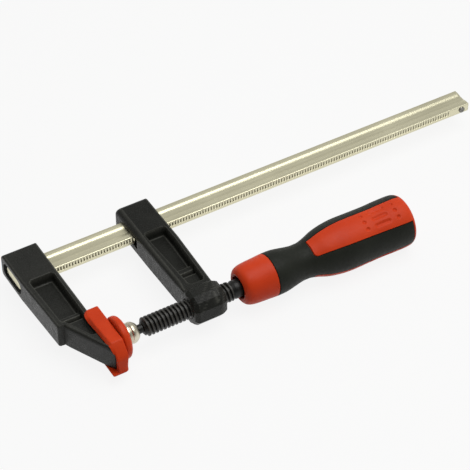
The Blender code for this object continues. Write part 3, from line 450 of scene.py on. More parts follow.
def casting_face(y, left, right, half, pocket_left, pocket_right, height, edge):
    """One face of a casting, row by row: x, z, the near corner's height and how much its paint is lightened,
    for rubbed paint and for painted highlights.

    At the share t of its way from the side to the face, the near corner is t^2 of its width
    across and (1 - t)^2 of its height below the face. edge holds that width and height, and how much the
    corner is lightened, partly as rubbed paint and partly as a painted highlight. height(x, y, half) gives
    the face's level and its painted highlight lines.
    """
    low, high, top, start, end, width, tall = (
        np.broadcast_to(np.asarray(value, float), y.shape)[:, None]
        for value in (left, right, half, pocket_left, pocket_right, *edge[:2]))
    width, tall = np.minimum(width, (high - low) * 0.4), np.minimum(tall, top * 0.95)
    far_width, far_tall = np.minimum(FACE_ROUND, (high - low) * 0.4), np.minimum(FACE_ROUND, top * 0.95)
    start = np.maximum(start, low + width)
    end = np.minimum(np.maximum(end, start + 0.1), high - far_width)
    draft = np.minimum(DRAFT, (end - start) * 0.4)
    turn, wall, floor = (np.linspace(0.0, 1.0, count)[None, :] for count in (7, 9, 34))
    back = turn[:, ::-1]
    few = np.linspace(0.0, 1.0, 5)[None, 1:-1]
    plan = np.concatenate([
        low + width + (start - low - width) * few,
        start + draft * wall,
        start + draft + (end - start - 2 * draft) * floor[:, 1:-1],
        end - draft * wall[:, ::-1],
        end + (high - far_width - end) * few], 1)
    level, bare_and_highlit = height(plan, y[:, None] + 0.0 * plan, top + 0.0 * plan)
    face_x = np.concatenate([low + width * turn ** 2, plan, high - far_width * back ** 2], 1)
    face_z = np.concatenate([top - tall * (1.0 - turn) ** 2, level, top - far_tall * (1.0 - back) ** 2], 1)
    bare_and_highlit = np.concatenate([edge[2] * turn ** 4 + 0.0 * top, bare_and_highlit, 0.5 * back ** 2 + 0.0 * top], 1)
    return face_x, face_z, top - tall, bare_and_highlit


def casting(y, left, right, halves, pocket_left, pocket_right, height, edges, side_steps, hollow=None):
    """Closed loops round a casting, one per place y down its length, and how much its paint is lightened, for
    rubbed paint and for painted highlights.

    Each loop runs over the top face from left to right, down the right side, back over the
    lower face and up the left side, which hollow(y, z) sinks. halves and edges each hold the
    top face's value and the lower face's.
    """
    (top_x, top_z, top_corner, top_bare_and_highlit), (low_x, low_z, low_corner, low_bare_and_highlit) = (
        casting_face(y, left, right, half, pocket_left, pocket_right, height, edge)
        for half, edge in zip(halves, edges))
    share = side_steps[None, :]
    right_z = top_z[:, -1:] + (-low_z[:, -1:] - top_z[:, -1:]) * (1.0 - share) / 2.0
    left_z = -low_corner + (top_corner + low_corner) * (1.0 - share) / 2.0
    left_x = left[:, None] + 0.0 * left_z
    if hollow:
        left_x = left_x + hollow(y[:, None] + 0.0 * left_z, left_z)
    loop_x = np.concatenate([top_x, right[:, None] + 0.0 * right_z, low_x[:, ::-1], left_x], 1)
    loop_z = np.concatenate([top_z, right_z, -low_z[:, ::-1], left_z], 1)
    bare_and_highlit = np.concatenate([top_bare_and_highlit, 0.0 * right_z, low_bare_and_highlit[:, ::-1], 0.0 * left_z], 1)
    return np.stack([loop_x, np.broadcast_to(y[:, None], loop_x.shape), loop_z], -1), bare_and_highlit


def tapered(y, *stops):
    """A size that changes in straight runs down the casting, from (y, size) stops."""
    places, sizes = zip(*sorted(stops))
    return np.interp(y, places, sizes)


SIDE_STEPS = np.linspace(1.0, -1.0, 37)[1:-1]
turn = np.radians(np.linspace(90.0, 0.0, 10))
JAW_X = -1.0
JAW_FACE = 26.0
JAW_ROUND_Y = 14.5
y = np.concatenate([JAW_ROUND_Y + 3.98 * np.sin(turn), stations(
    (13.9, 46), (-14.0, 22), (-22.0, 34), (-56.0, 30), (-66.55, 2), (-66.85, 10), (-71.0, 34), (-85.5, 14),
    (-96.6, 12), (-104.2, 1), (-104.6, 0))])
half = tapered(y, (-104.6, 4.6), (-103.0, 6.2), (-102.0, 7.2), (-100.0, 9.2), (-99.5, CASTING_HALF),
               (20.0, CASTING_HALF)) * (1.0 - rounding((y - JAW_ROUND_Y) / 4.0))
low_half = np.where(y < -99.0, CASTING_HALF, half)
left = JAW_X + tapered(y, (20.0, 0.0), (-14.0, 0.0), (-45.0, 1.4), (-66.55, 2.3), (-66.85, 6.4), (-71.0, 8.1),
                       (-96.6, 20.7), (-104.6, 25.5))
left = left + 0.9 * rounding((-65.4 - y) / 1.2) * (y > -66.6)
left = left + 1.2 * np.clip((y - 16.5) / 2.0, 0.0, 1.0) ** 2
right = JAW_FACE - 1.2 * np.clip((y - 16.5) / 2.0, 0.0, 1.0) ** 2
pocket_left = JAW_X + tapered(y, (20.0, 5.0), (-16.4, 5.0), (-63.4, 6.6), (-64.8, 8.6), (-71.0, 12.3),
                              (-84.5, 18.9), (-96.6, 22.9), (-104.2, 25.8))
pocket_right = tapered(y, (20.0, 23.0), (-84.5, 23.0), (-96.6, 24.6), (-104.2, 25.4))


def pocket_floor(y, rise, fall, ledge):
    """Level of a long pocket's floor: flat, then a cross rib, a slot and a ledge at the nose end.

    The rib starts to rise at one place down the casting and to fall at the next, and the
    ledge rises to the same level.
    """
    steps = ease((rise - y) / 1.3) - ease((fall - y) / 1.1) + ease((ledge - y) / 1.3)
    return FLOOR_LEVEL + RIB_HEIGHT * steps


def rib_highlights(y, inside, rise, fall, ledge):
    """Painted highlight lines on the edges of the rib and the ledge, and a soft painted highlight where the
    floor meets its wall.
    """
    lines = 0.7 * stripe(y - rise + 1.1) + 0.9 * stripe(y - fall + 0.1) + 0.9 * stripe(y - ledge + 1.2)
    return lines * ease(inside - 1.0) + 0.5 * stripe(inside - 2.2) * (y > rise)


def cap_foot(y):
    """Where the cap's lip ends on the jaw's face, down the nose."""
    return tapered(y, (-63.5, 24.0), (-65.3, 21.9), (-69.1, 20.7), (-73.7, 21.2), (-80.2, 21.7),
                   (-91.7, 22.2), (-98.0, 22.4), (-103.0, 22.7), (-110.0, 22.7))


JAW_RIB = (-55.6, -59.4, -61.9)
EYE_HALF = 8.1
EYE_RADIUS = 5.9
EYE_DEPTH = 2.8


def jaw_face(x, y, half):
    """Face level of the fixed jaw: rails, the pocket with its rib, slot and ledge, and the cap's seat."""
    floor = pocket_floor(y, *JAW_RIB)
    long_left = JAW_X + tapered(y, (20.0, 5.0), (-16.4, 5.0), (-64.8, 6.6), (-110.0, 8.1))
    main = within(long_left, 23.0, -16.4, -64.8, x, y, 3.0)
    nose_left = JAW_X + 12.3 + (-71.0 - y) * 0.4922
    inside = np.maximum(main, within(nose_left, 23.0, -58.0, -84.5, x, y, 1.5))
    seat = 1.5 * ease((x - cap_foot(y) + 0.75) / 0.45) * (y < -71.0)
    level = np.minimum(half - (half - floor) * sunk(inside), half - seat)
    # Painted highlights: a lighter line round the pocket's rim, and lines on the rib's and the ledge's edges.
    bare_and_highlit = 0.5 * stripe(inside - 0.15) + rib_highlights(y, inside, *JAW_RIB)
    return level, bare_and_highlit


def eye_hollow(y, z):
    """Depth of the oval eye round the riveted head."""
    apart = np.hypot(np.maximum(np.abs(y) - EYE_HALF, 0.0), z)
    return EYE_DEPTH * ease((EYE_RADIUS - apart) / 0.7)


# Sand-cast or moulded grain: fine noise for the height, coarser noise for the tone.
mould_grain, given, result = group("mould_grain", {"Size": 1500.0}, ("Height", "Tone"))
spot = node(mould_grain, "ShaderNodeTexCoord").outputs["Object"]
fine = node(mould_grain, "ShaderNodeTexNoise", {"Vector": spot, "Scale": given.outputs["Size"], "Detail": 3.0,
                                               "Roughness": 0.6})
rate = reckon(mould_grain, "MULTIPLY", given.outputs["Size"], 0.17)
wide = node(mould_grain, "ShaderNodeTexNoise", {"Vector": spot, "Scale": rate, "Detail": 3.0})
mould_grain.links.new(fine.outputs["Fac"], result.inputs["Height"])
mould_grain.links.new(wide.outputs["Fac"], result.inputs["Tone"])

# Rubbed and highlit edges: lighter where the surface bends outwards, broken up by noise. This is partly worn
# paint and partly a painted highlight along the edges.
worn_and_highlit_edge, given, result = group("worn_and_highlit_edge", {"Start": 0.53, "End": 0.6}, ("Mask",))
bend = node(worn_and_highlit_edge, "ShaderNodeNewGeometry").outputs["Pointiness"]
bare_and_highlit = span(worn_and_highlit_edge, bend, given.outputs["Start"], given.outputs["End"])
spot = node(worn_and_highlit_edge, "ShaderNodeTexCoord").outputs["Object"]
wear = node(worn_and_highlit_edge, "ShaderNodeTexNoise", {"Vector": spot, "Scale": 220.0, "Detail": 4.0})
bare_and_highlit = reckon(worn_and_highlit_edge, "MULTIPLY", bare_and_highlit, span(worn_and_highlit_edge, wear.outputs["Fac"], 0.35, 0.65))
worn_and_highlit_edge.links.new(bare_and_highlit, result.inputs["Mask"])
# Lighter paint for worn edges and for painted highlights on the edges and the marked lines.
RUBBED_AND_HIGHLIT = (0.11, 0.11, 0.095)


def iron_paint(name, gloss, dark, light):
    """Black paint on a casting, lighter on its edges and along the marked lines: rubbed paint on the edges,
    and painted highlights on the edges and along the lines.
    """
    made, tree, shader = coat_of(name, Specular_IOR_Level=gloss)
    grain = node(tree, "ShaderNodeGroup", {"Size": 1300.0}, node_tree=mould_grain)
    patch = node(tree, "ShaderNodeGroup", {"Patches": 55.0, "Specks": 900.0}, node_tree=mottle)
    edge = node(tree, "ShaderNodeGroup", node_tree=worn_and_highlit_edge)
    drawn = node(tree, "ShaderNodeAttribute", attribute_name="mark").outputs["Fac"]
    drawn = reckon(tree, "MULTIPLY", drawn, span(tree, patch.outputs["Speck"], 0.3, 0.6, 0.6, 1.1))
    paint = ramp(tree, patch.outputs["Tone"], (0.3, dark), (0.7, light))
    # Lighter paint for worn edges, and painted highlights on edges and on the marked lines.
    paint = blend_colour(tree, reckon(tree, "MAXIMUM", edge.outputs["Mask"], drawn), paint, RUBBED_AND_HIGHLIT)
    tree.links.new(paint, shader.inputs["Base Color"])
    tree.links.new(span(tree, grain.outputs["Tone"], 0.3, 0.7, 0.24, 0.38), shader.inputs["Roughness"])
    relief(tree, shader, grain.outputs["Height"], 0.0003)
    return made


jaw_paint = iron_paint("black_iron", 0.23, (0.0115, 0.012, 0.01), (0.019, 0.0195, 0.016))
edge_x = tapered(y, (20.0, 1.5), (-66.0, 1.5), (-67.0, 3.0), (-104.2, 2.4))
edge_z = tapered(y, (20.0, 1.4), (-66.0, 1.4), (-67.0, 3.2), (-100.0, 3.2), (-104.2, 1.5))
jaw_rows, bare_and_highlit = casting(y, left, right, (half, low_half), pocket_left, pocket_right, jaw_face,
                         ((edge_x, edge_z, 0.25), (1.2, 1.2, 0.0)), SIDE_STEPS, eye_hollow)
jaw = shell("jaw_casting", jaw_rows, marks=[bare_and_highlit])
dress(jaw, jaw_paint, "frame", "black_iron", "fixed_jaw", crease=38.0)


# Jaw cap. Soft red plastic sock moulded to slip over the fixed jaw's face and nose, so that
# the iron doesn't mark the work.
def moulded(name, size, patches, dark, light, gloss, depth, **same):
    """Moulded plastic: mottled between two colours, with a grain that gives its height and gloss."""
    made, tree, shader = coat_of(name, **same)
    grain = node(tree, "ShaderNodeGroup", {"Size": size}, node_tree=mould_grain)
    patch = node(tree, "ShaderNodeGroup", {"Patches": patches}, node_tree=mottle)
    tree.links.new(ramp(tree, patch.outputs["Tone"], (0.3, dark), (0.7, light)), shader.inputs["Base Color"])
    tree.links.new(span(tree, grain.outputs["Tone"], 0.3, 0.7, *gloss), shader.inputs["Roughness"])
    relief(tree, shader, grain.outputs["Height"], depth)
    return made


red_soft = moulded("red_soft", 2400.0, 60.0, (0.56, 0.039, 0.0055), (0.64, 0.052, 0.009), (0.34, 0.46),
                   0.00005, IOR=1.5, Specular_IOR_Level=0.16)
CAP_FRONT = 33.3
CAP_FOOT = 20.5
CAP_HALF = 11.3
CAP_INNER = 9.8
CAP_TOP_Y = -63.5
CAP_END_Y = -108.1


def rounded_loops(corners, radius, steps, splits):
    """Closed loops through corner points, with each corner rounded and each side split evenly.

    A corner becomes the curve (1-t)^2 a + 2t(1-t) c + t^2 b between the points a and b that lie
    a radius away from it along its two sides, or less where a side is short.
    """
    before, after = np.roll(corners, 1, 1) - corners, np.roll(corners, -1, 1) - corners
    back = np.linalg.norm(before, axis=-1, keepdims=True)
    ahead = np.linalg.norm(after, axis=-1, keepdims=True)
    reach = np.minimum(np.minimum(back, ahead) * 0.45, np.asarray(radius, float)[None, :, None])
    start = corners + before / np.maximum(back, 1e-9) * reach
    end = corners + after / np.maximum(ahead, 1e-9) * reach
    following = np.roll(start, -1, 1)
    t = np.linspace(0.0, 1.0, steps)
    runs = []
    for k, count in enumerate(splits):
        runs += [(1 - v) ** 2 * start[:, k] + 2 * v * (1 - v) * corners[:, k] + v * v * end[:, k] for v in t]
        shares = np.linspace(0, 1, count + 2)[1:-1]
        runs += [end[:, k] + (following[:, k] - end[:, k]) * share for share in shares]
    return np.stack(runs, 1)


NOSE_END = np.array([(-98.8, 11.3), (-99.3, 11.22), (-99.7, 11.0), (-100.2, 10.55), (-101.2, 9.55),
                     (-102.2, 8.5), (-103.2, 7.4), (-104.2, 6.3), (-105.2, 5.1), (-106.1, 3.95),
                     (-106.9, 2.8), (-107.5, 1.6), (-107.95, 0.2), (-108.1, -1.4)])
CAP_ROUND = 0.4
rim = CAP_ROUND * np.array([0.0, 0.075, 0.25, 0.55, 1.0])
y = np.concatenate([CAP_TOP_Y - rim, stations((CAP_TOP_Y - 0.8, 30), (-98.0, 12), (-107.0, 6),
                                              (CAP_END_Y + CAP_ROUND, 0)), NOSE_END[:, 0], CAP_END_Y + rim])
y = np.unique(np.round(y, 3))[::-1]
trim = CAP_ROUND * rounding(1.0 - np.minimum(CAP_TOP_Y - y, y - CAP_END_Y) / CAP_ROUND)
top = np.interp(-y, -NOSE_END[:, 0], NOSE_END[:, 1]) - trim
opened = rounding((-99.5 - y) / 5.0)
foot = cap_foot(y)
foot = foot + trim + (24.4 - foot) * opened
slope = tapered(y, (-63.5, 24.8), (-68.0, 23.4), (-79.0, 23.3), (-91.0, 24.1), (-99.5, 24.6), (-105.0, 25.2),
                (-110.0, 25.2)) + trim
hang = tapered(y, (-60.0, CAP_INNER), (-70.6, CAP_INNER), (-71.6, 8.4), (-98.0, 8.4), (-101.0, 9.3),
               (-110.0, 9.3))
inner = np.minimum(CAP_INNER + 0.5 * trim, top - 0.5 - 0.9 * ease((-101.0 - y) / 3.0))
hang = np.minimum(hang, inner)
hook = np.maximum(foot + 0.7, 22.9 + 1.5 * opened)
floor = np.maximum(26.3 - 1.8 * ease((-104.2 - y) / 0.5), hook)
low_in = -CAP_INNER - 0.5 * trim
front = CAP_FRONT - trim - rounding(-107.1 - y)
low_front = front - 2.8 * rounding((-104.0 - y) / 4.1)
front = front - 0.9 * rounding((y + 64.4) / 0.9)
low = -CAP_HALF + trim
low_foot = CAP_FOOT + trim
corner_x = [foot + 0.4, foot, slope, front, low_front, low_foot + 0.9, low_foot, low_foot, floor, floor, hook]
corner_z = [hang, hang + 0.25, top, top, low, low, low + 0.7, low_in, low_in, inner, inner]
corners = np.stack([np.stack(corner_x, 1), np.stack(corner_z, 1)], -1)
loop = rounded_loops(corners, (0.2, 0.3, 0.7, 0.7, 0.7, 0.5, 0.5, 0.3, 0.6, 0.6, 0.4), 6,
                     (0, 6, 8, 22, 8, 0, 0, 6, 16, 4, 1))
cap_rows = np.stack([loop[..., 0], y[:, None] + 0.0 * loop[..., 0], loop[..., 1]], -1)
flare = ease((-7.6 - cap_rows[..., 2]) / 3.4) * np.clip((-104.5 - cap_rows[..., 1]) / 3.0, 0.0, 1.0)
cap_rows[..., 1] -= 0.8 * flare
cap = shell("jaw_cap_sock", cap_rows, flat_ends=True)
dress(cap, red_soft, "frame", "red_soft", "jaw_cap", crease=38.0)


# Grip pin. Hardened dowel across the arm's slot, which bites on the teeth.
GRIP_X = 110.1
GRIP_Y = -11.8
grip_pin = turned("grip_dowel", [(0.0, 0.0), (0.0, 2.1), (0.12, 2.35), (0.4, 2.5), (14.6, 2.5), (14.88, 2.35),
                                 (15.0, 2.1), (15.0, 0.0)], (GRIP_X, GRIP_Y, -9.0), 2)
dress(grip_pin, pin_steel, "arm_slider", "pin_steel", "grip_pin")

# Sliding arm. The second iron casting, with a slot that lets it slide and rock on the bar
# and a faceted boss, bored through for the screw.
ARM_X = 90.0
turn = np.radians(np.linspace(90.0, 0.0, 10))
ARM_ROUND_Y = 15.2
y = np.concatenate([ARM_ROUND_Y + 5.0 * np.sin(turn), stations(
    (14.6, 20), (-13.0, 20), (-20.0, 36), (-57.0, 30), (-68.0, 14), (-78.0, 8), (-87.0, 1), (-87.8, 0))])
half = CASTING_HALF * (1.0 - rounding((y - ARM_ROUND_Y) / 5.02))
left = ARM_X + tapered(y, (21.0, 0.0), (-30.0, 0.0), (-87.8, 0.9))
left = left + 2.4 * np.clip((y - 16.4) / 3.8, 0.0, 1.0) ** 2
right = ARM_X + tapered(y, (21.0, 25.3), (-30.0, 25.3), (-87.8, 22.8))
right = right - 1.0 * np.clip((y - 18.5) / 2.5, 0.0, 1.0) ** 2
pocket_left = ARM_X + tapered(y, (21.0, 5.0), (-15.2, 5.0), (-76.5, 7.9), (-87.8, 8.0))
pocket_right = ARM_X + tapered(y, (21.0, 22.4), (-30.0, 22.4), (-76.5, 20.2), (-87.8, 20.0))
edge_x = tapered(y, (21.0, 4.5), (-12.0, 4.3), (-30.0, 3.4), (-70.0, 3.0), (-77.0, 1.6), (-90.0, 1.3))
edge_z = tapered(y, (21.0, 4.2), (-12.0, 4.2), (-30.0, 3.4), (-70.0, 2.8), (-77.0, 1.4), (-90.0, 1.0))
ARM_RIB = (-55.0, -60.2, -63.2)


def arm_face(x, y, half):
    """Face level of the arm: rails, the long pocket, its cross rib, the slot and the ledge at the boss."""
    floor = pocket_floor(y, *ARM_RIB)
    wall_left = ARM_X + tapered(y, (21.0, 5.0), (-15.2, 5.0), (-76.5, 7.9), (-87.8, 8.4))
    wall_right = ARM_X + tapered(y, (21.0, 22.4), (-30.0, 22.4), (-76.5, 20.2), (-87.8, 19.7))
    main = within(wall_left, wall_right, -15.2, -76.5, x, y, 3.0)
    # Painted highlights: a lighter line round the pocket's rim, and lines on the rib's and the ledge's edges.
    bare_and_highlit = 0.5 * stripe(main - 0.15) + rib_highlights(y, main, *ARM_RIB)
    return half - (half - floor) * sunk(main), bare_and_highlit


def carve(item, *cutters, operation="DIFFERENCE"):
    """Cuts or joins other shapes for good, and clears them away."""
    for cutter in cutters:
        step = item.modifiers.new("carve", "BOOLEAN")
        step.operation = operation
        step.solver = "EXACT"
        step.object = cutter
    graph = bpy.context.evaluated_depsgraph_get()
    mesh = bpy.data.meshes.new_from_object(item.evaluated_get(graph))
    item.modifiers.clear()
    item.data = mesh
    for cutter in cutters:
        bpy.data.objects.remove(cutter)
    return item


def brick(low, high):
    """A plain box to cut with, between two corners in millimetres."""
    low, high = np.array(low, float), np.array(high, float)
    ring = np.array([(0, 0), (1, 0), (1, 1), (0, 1)], float)
    rows = np.empty((2, 4, 3))
    rows[:, :, 0] = np.array([low[0], high[0]])[:, None]
    rows[:, :, 1] = low[1] + ring[:, 0] * (high[1] - low[1])
    rows[:, :, 2] = low[2] + ring[:, 1] * (high[2] - low[2])
    return shell("brick", rows)


SCREW_Y = -87.8
arm_rows, bare_and_highlit = casting(y, left, right, (half, half), pocket_left, pocket_right, arm_face,
                         ((edge_x, edge_z, 0.4), (1.5, 1.5, 0.0)), SIDE_STEPS[::2])
arm = shell("arm_casting", arm_rows, marks=[bare_and_highlit])
turn = np.radians(np.arange(0.0, 360.0, 1.0))
BOSS_LONG = 25.2
BOSS_CORNERS = np.radians([0.0, 35.0, 70.0, 105.0, 130.0, 158.0, 202.0, 230.0, 255.0, 290.0, 325.0, 360.0])
BOSS_RADII = np.array([12.6, 13.3, 13.4, 13.3, 13.2, 13.4, 13.4, 13.2, 13.3, 13.4, 13.3, 12.6])
facet = np.clip(np.searchsorted(BOSS_CORNERS, turn, side="right") - 1, 0, BOSS_CORNERS.size - 2)
first, second = BOSS_CORNERS[facet], BOSS_CORNERS[facet + 1]
near_r, next_r = BOSS_RADII[facet], BOSS_RADII[facet + 1]
swing = near_r * np.sin(turn - first) + next_r * np.sin(second - turn)
flat = near_r * next_r * np.sin(second - first) / swing
bevel_x = np.array([0.0, 0.06, 0.16, 0.3, 0.5, 0.7, 0.84, 0.94, 1.0, 1.1])
BEVEL = 2.2
bevel_in = BEVEL * np.array([1.0, 0.86, 0.72, 0.56, 0.36, 0.19, 0.09, 0.03, 0.0, 0.0])
bx = np.concatenate([3.0 * bevel_x, np.linspace(3.6, BOSS_LONG - 5.8, 10), BOSS_LONG - 4.8 * bevel_x[::-1]])
shrink = np.concatenate([bevel_in, np.zeros(10), bevel_in[::-1]])
boss_r = flat[None, :] - shrink[:, None]
boss_rows = np.stack([np.broadcast_to(ARM_X + bx[:, None], boss_r.shape), SCREW_Y + boss_r * np.cos(turn),
                      boss_r * np.sin(turn)], -1)
# Painted highlights: soft lighter lines along the boss's ridges, fading over its bevelled ends.
ridges = np.degrees(BOSS_CORNERS)[3:9]
beside = np.min(np.abs(np.degrees(turn)[:, None] - ridges[None, :]), 1) * math.radians(13.3)
boss_ridge_highlight = stripe(beside, 0.4)[None, :] * 0.7 * (1.0 - shrink[:, None] / BEVEL)
boss = shell("boss", boss_rows, marks=[boss_ridge_highlight])
arm = carve(arm, boss, operation="UNION")
# Cut out: the bar's slot, its deeper mouth on the jaw's side, the boss's bore, the pin's hole.
SLOT_HALF = 3.9
BORE_RADIUS = 7.45
GRIP_HOLE = 2.8
arm = carve(arm, brick((88.0, -9.7, -SLOT_HALF), (117.3, 10.1, SLOT_HALF)),
            brick((88.0, -14.6, -SLOT_HALF), (103.5, 8.1, SLOT_HALF)),
            turned("bore", [(80.0, BORE_RADIUS), (120.0, BORE_RADIUS)], (0.0, SCREW_Y, 0.0), 0, 72),
            turned("bore", [(-12.0, GRIP_HOLE), (6.3, GRIP_HOLE)], (GRIP_X, GRIP_Y, 0.0), 2, 48))
# The arm's paint is a darker, less glossy copy of the jaw's paint: painted shade for the darker reflections
# its faces show beside the jaw and the bar.
arm_paint_shaded = iron_paint("black_iron_arm_shaded", 0.15, (0.0095, 0.01, 0.0083), (0.0165, 0.017, 0.014))
dress(arm, arm_paint_shaded, "arm", "black_iron", "sliding_arm", crease=38.0)

# Screw. Rolled and blackened steel spindle: a ball on a thin neck, a coarse right-hand
# thread with rounded crests, and a plain collar that goes into the handle.
PITCH = 3.0
CREST = 1.7
BALL_X = 44.5
BALL_RADIUS = 4.5
NECK_RADIUS = 3.3
NECK_END = 52.8
CORE_RADIUS = 5.4
THREAD_END = 124.0
COLLAR_RADIUS = 6.7
COLLAR_END = 133.6
SHANK_RADIUS = 5.5
ball_x = BALL_X - BALL_RADIUS
x = stations((ball_x, 1), (ball_x + 0.05, 14), (BALL_X, 12), (BALL_X + 3.0, 4), (NECK_END, 12), (56.0, 440),
             (THREAD_END, 6), (COLLAR_END + 0.1, 4), (206.2, 0))
turn = np.radians(np.linspace(0.0, 360.0, 64, endpoint=False))
ball = np.sqrt(np.clip(BALL_RADIUS ** 2 - (x - BALL_X) ** 2, 0.0, None))
neck = np.where(x < BALL_X, ball, np.maximum(ball, NECK_RADIUS))
lead = np.interp(x, [NECK_END, 54.0, 55.6], [0.0, 4.6, CORE_RADIUS])
body_r = np.maximum(neck, lead)
body_r = np.where(x > THREAD_END, COLLAR_RADIUS, body_r)
body_r = np.where(x > COLLAR_END, SHANK_RADIUS, body_r)
phase = np.mod((x[:, None] - 57.0) / PITCH - turn / (2 * math.pi), 1.0)
ridge = np.clip((0.36 - np.abs(phase - 0.5)) / 0.2, 0.0, 1.0)
ridge = np.sin(ridge * math.pi / 2) ** 1.3
fade = ease((x - 54.0) / 2.0) * ease((THREAD_END + 0.4 - x) / 1.5)
screw_r = body_r[:, None] + CREST * ridge * fade[:, None]
screw_rows = np.stack([np.broadcast_to(x[:, None], screw_r.shape), SCREW_Y + screw_r * np.cos(turn),
                       screw_r * np.sin(turn)], -1)
black_steel, tree, shader = coat_of("black_steel", Specular_IOR_Level=0.3)
patch = node(tree, "ShaderNodeGroup", {"Patches": 140.0, "Specks": 1800.0}, node_tree=mottle)
edge = node(tree, "ShaderNodeGroup", node_tree=worn_and_highlit_edge)
steel = ramp(tree, patch.outputs["Tone"], (0.3, (0.006, 0.006, 0.005)), (0.7, (0.013, 0.013, 0.0115)))
# Lighter crests and edges: rubbed steel on the edges, and a painted highlight along the thread's crests and
# edges.
crest_highlight = node(tree, "ShaderNodeAttribute", attribute_name="mark").outputs["Fac"]
crest_highlight = span(tree, crest_highlight, 0.5, 1.0, 0.0, 0.35)
bare_and_highlit = reckon(tree, "MAXIMUM", reckon(tree, "MULTIPLY", edge.outputs["Mask"], 0.6), crest_highlight)
steel = blend_colour(tree, bare_and_highlit, steel, (0.12, 0.115, 0.1))
tree.links.new(steel, shader.inputs["Base Color"])
tree.links.new(span(tree, patch.outputs["Speck"], 0.3, 0.7, 0.3, 0.46), shader.inputs["Roughness"])
relief(tree, shader, patch.outputs["Speck"], 0.00004)
screw = shell("screw_spindle", screw_rows, marks=[ridge * fade[:, None]])
dress(screw, black_steel, "screw_assembly", "black_steel", "screw")

# Snap ring. Split wire ring in the hub's groove behind the ball.
turn = np.radians(np.linspace(12.0, 348.0, 80))
small = np.radians(np.linspace(0.0, 360.0, 12, endpoint=False))
ring_r = BALL_RADIUS + 0.7 * np.cos(small)[None, :]
ring_rows = np.stack([np.broadcast_to(BALL_X + 3.2 + 0.5 * np.sin(small), (turn.size, small.size)),
                      SCREW_Y + ring_r * np.cos(turn)[:, None], ring_r * np.sin(turn)[:, None]], -1)
dress(shell("ball_ring", ring_rows), pin_steel, "screw_carrier", "pin_steel", "snap_ring")

# Swivel pad. Turned steel disc and hub, bright plated, closed round the ball.
plated_steel = turned_steel("plated_steel", 150.0, 1500.0, (0.5, 0.46, 0.35), (0.74, 0.69, 0.56), (0.24, 0.4))
hub = turned("pad_hub", [(-8.2, 0.0), (-8.2, 12.8), (-7.8, 13.2), (-5.6, 13.2), (-5.2, 12.8), (-5.2, 8.6),
                         (-4.9, 7.9), (-4.2, 7.8), (-2.6, 7.8), (-1.6, 7.8), (-1.1, 7.6), (-0.85, 7.25),
                         (-0.6, 7.2), (-0.35, 7.3), (-0.1, 7.6), (0.5, 7.8), (1.5, 7.75), (2.6, 7.4),
                         (3.6, 6.8), (4.5, 6.1), (5.1, 5.6), (5.3, 5.3), (5.3, 4.9), (4.2, 4.85), (0.0, 4.8),
                         (-4.6, 1.4), (-4.8, 0.0)], (BALL_X, SCREW_Y, 0.0), 0, 96)
dress(hub, plated_steel, "pad", "plated_steel", "swivel_pad")

# Pad cap. Round cap of the same soft red plastic, snapped over the disc.
PAD_FRONT = 33.8
turn = np.radians(np.linspace(0.0, 90.0, 9))
front_edge = np.stack([1.8 * (1.0 - np.cos(turn)), 13.4 + 2.2 * np.sin(turn)], -1)
wrap = np.stack([3.3 + 3.6 * np.sin(turn), 15.6 - 6.9 * (1.0 - np.cos(turn))], -1)
outline = [(0.0, 0.0), *front_edge, *wrap, (6.9, 8.5), (6.7, 8.4), (5.8, 8.4), (5.75, 13.4), (2.2, 13.4),
           (2.2, 0.0)]
pad_cap = turned("pad_cap_disc", outline, (PAD_FRONT, SCREW_Y, 0.0), 0, 128)
dress(pad_cap, red_soft, "pad", "red_soft", "pad_cap")

# Handle core. Hard red plastic, moulded round the spindle: the front ferrule, and three
# raised panels that show through the windows of the black sleeve, with finger dimples.
HANDLE_X = 130.0
HANDLE_LONG = 138.5
HANDLE_FULL = 19.8
OUTLINE = np.array([
    (0.0, 0.515), (0.004, 0.566), (0.012, 0.647), (0.025, 0.707), (0.045, 0.745), (0.07, 0.766),
    (0.132, 0.788), (0.189, 0.808), (0.223, 0.803), (0.253, 0.778), (0.288, 0.732), (0.317, 0.694),
    (0.349, 0.668), (0.378, 0.669), (0.416, 0.72), (0.439, 0.768), (0.479, 0.864), (0.512, 0.919),
    (0.547, 0.96), (0.578, 0.985), (0.621, 1.0), (0.732, 0.987), (0.794, 0.982), (0.874, 0.997),
    (0.932, 1.0), (0.967, 0.985), (0.989, 0.925), (1.0, 0.8)])
HANDLE_END = HANDLE_X + HANDLE_LONG
SLEEVE_X = 154.8
SLEEVE_WALL = 1.6
WINDOW_X = 186.5
PANEL_STEP = 2.2
DIMPLE_ROWS = (-17.0, 0.0, 17.0)
DIMPLE_PLACES = (230.3, 256.0)
GROOVE_MIDDLE = 243.0


def flow(value, places, sizes):
    """A smooth curve through points: a cubic between each pair.

    The slope at a point is twice the product of its two neighbours' slopes over their sum, or
    level where they differ in sign, so that the curve never overshoots.
    """
    step = np.diff(places)
    rise = np.diff(sizes) / step
    both = rise[1:] * rise[:-1]
    bend = np.where(both > 0, 2 * both / (rise[1:] + rise[:-1] + 1e-12), 0.0)
    slope = np.concatenate([[rise[0]], bend, [rise[-1]]])
    index = np.clip(np.searchsorted(places, value) - 1, 0, len(step) - 1)
    t = (value - places[index]) / step[index]
    return (sizes[index] * (1 + 2 * t) * (1 - t) ** 2 + slope[index] * step[index] * t * (1 - t) ** 2
            + sizes[index + 1] * t * t * (3 - 2 * t) + slope[index + 1] * step[index] * t * t * (t - 1))


def handle_radius(x):
    """Outer radius of the handle at a place along it."""
    return HANDLE_FULL * flow((x - HANDLE_X) / HANDLE_LONG, OUTLINE[:, 0], OUTLINE[:, 1])


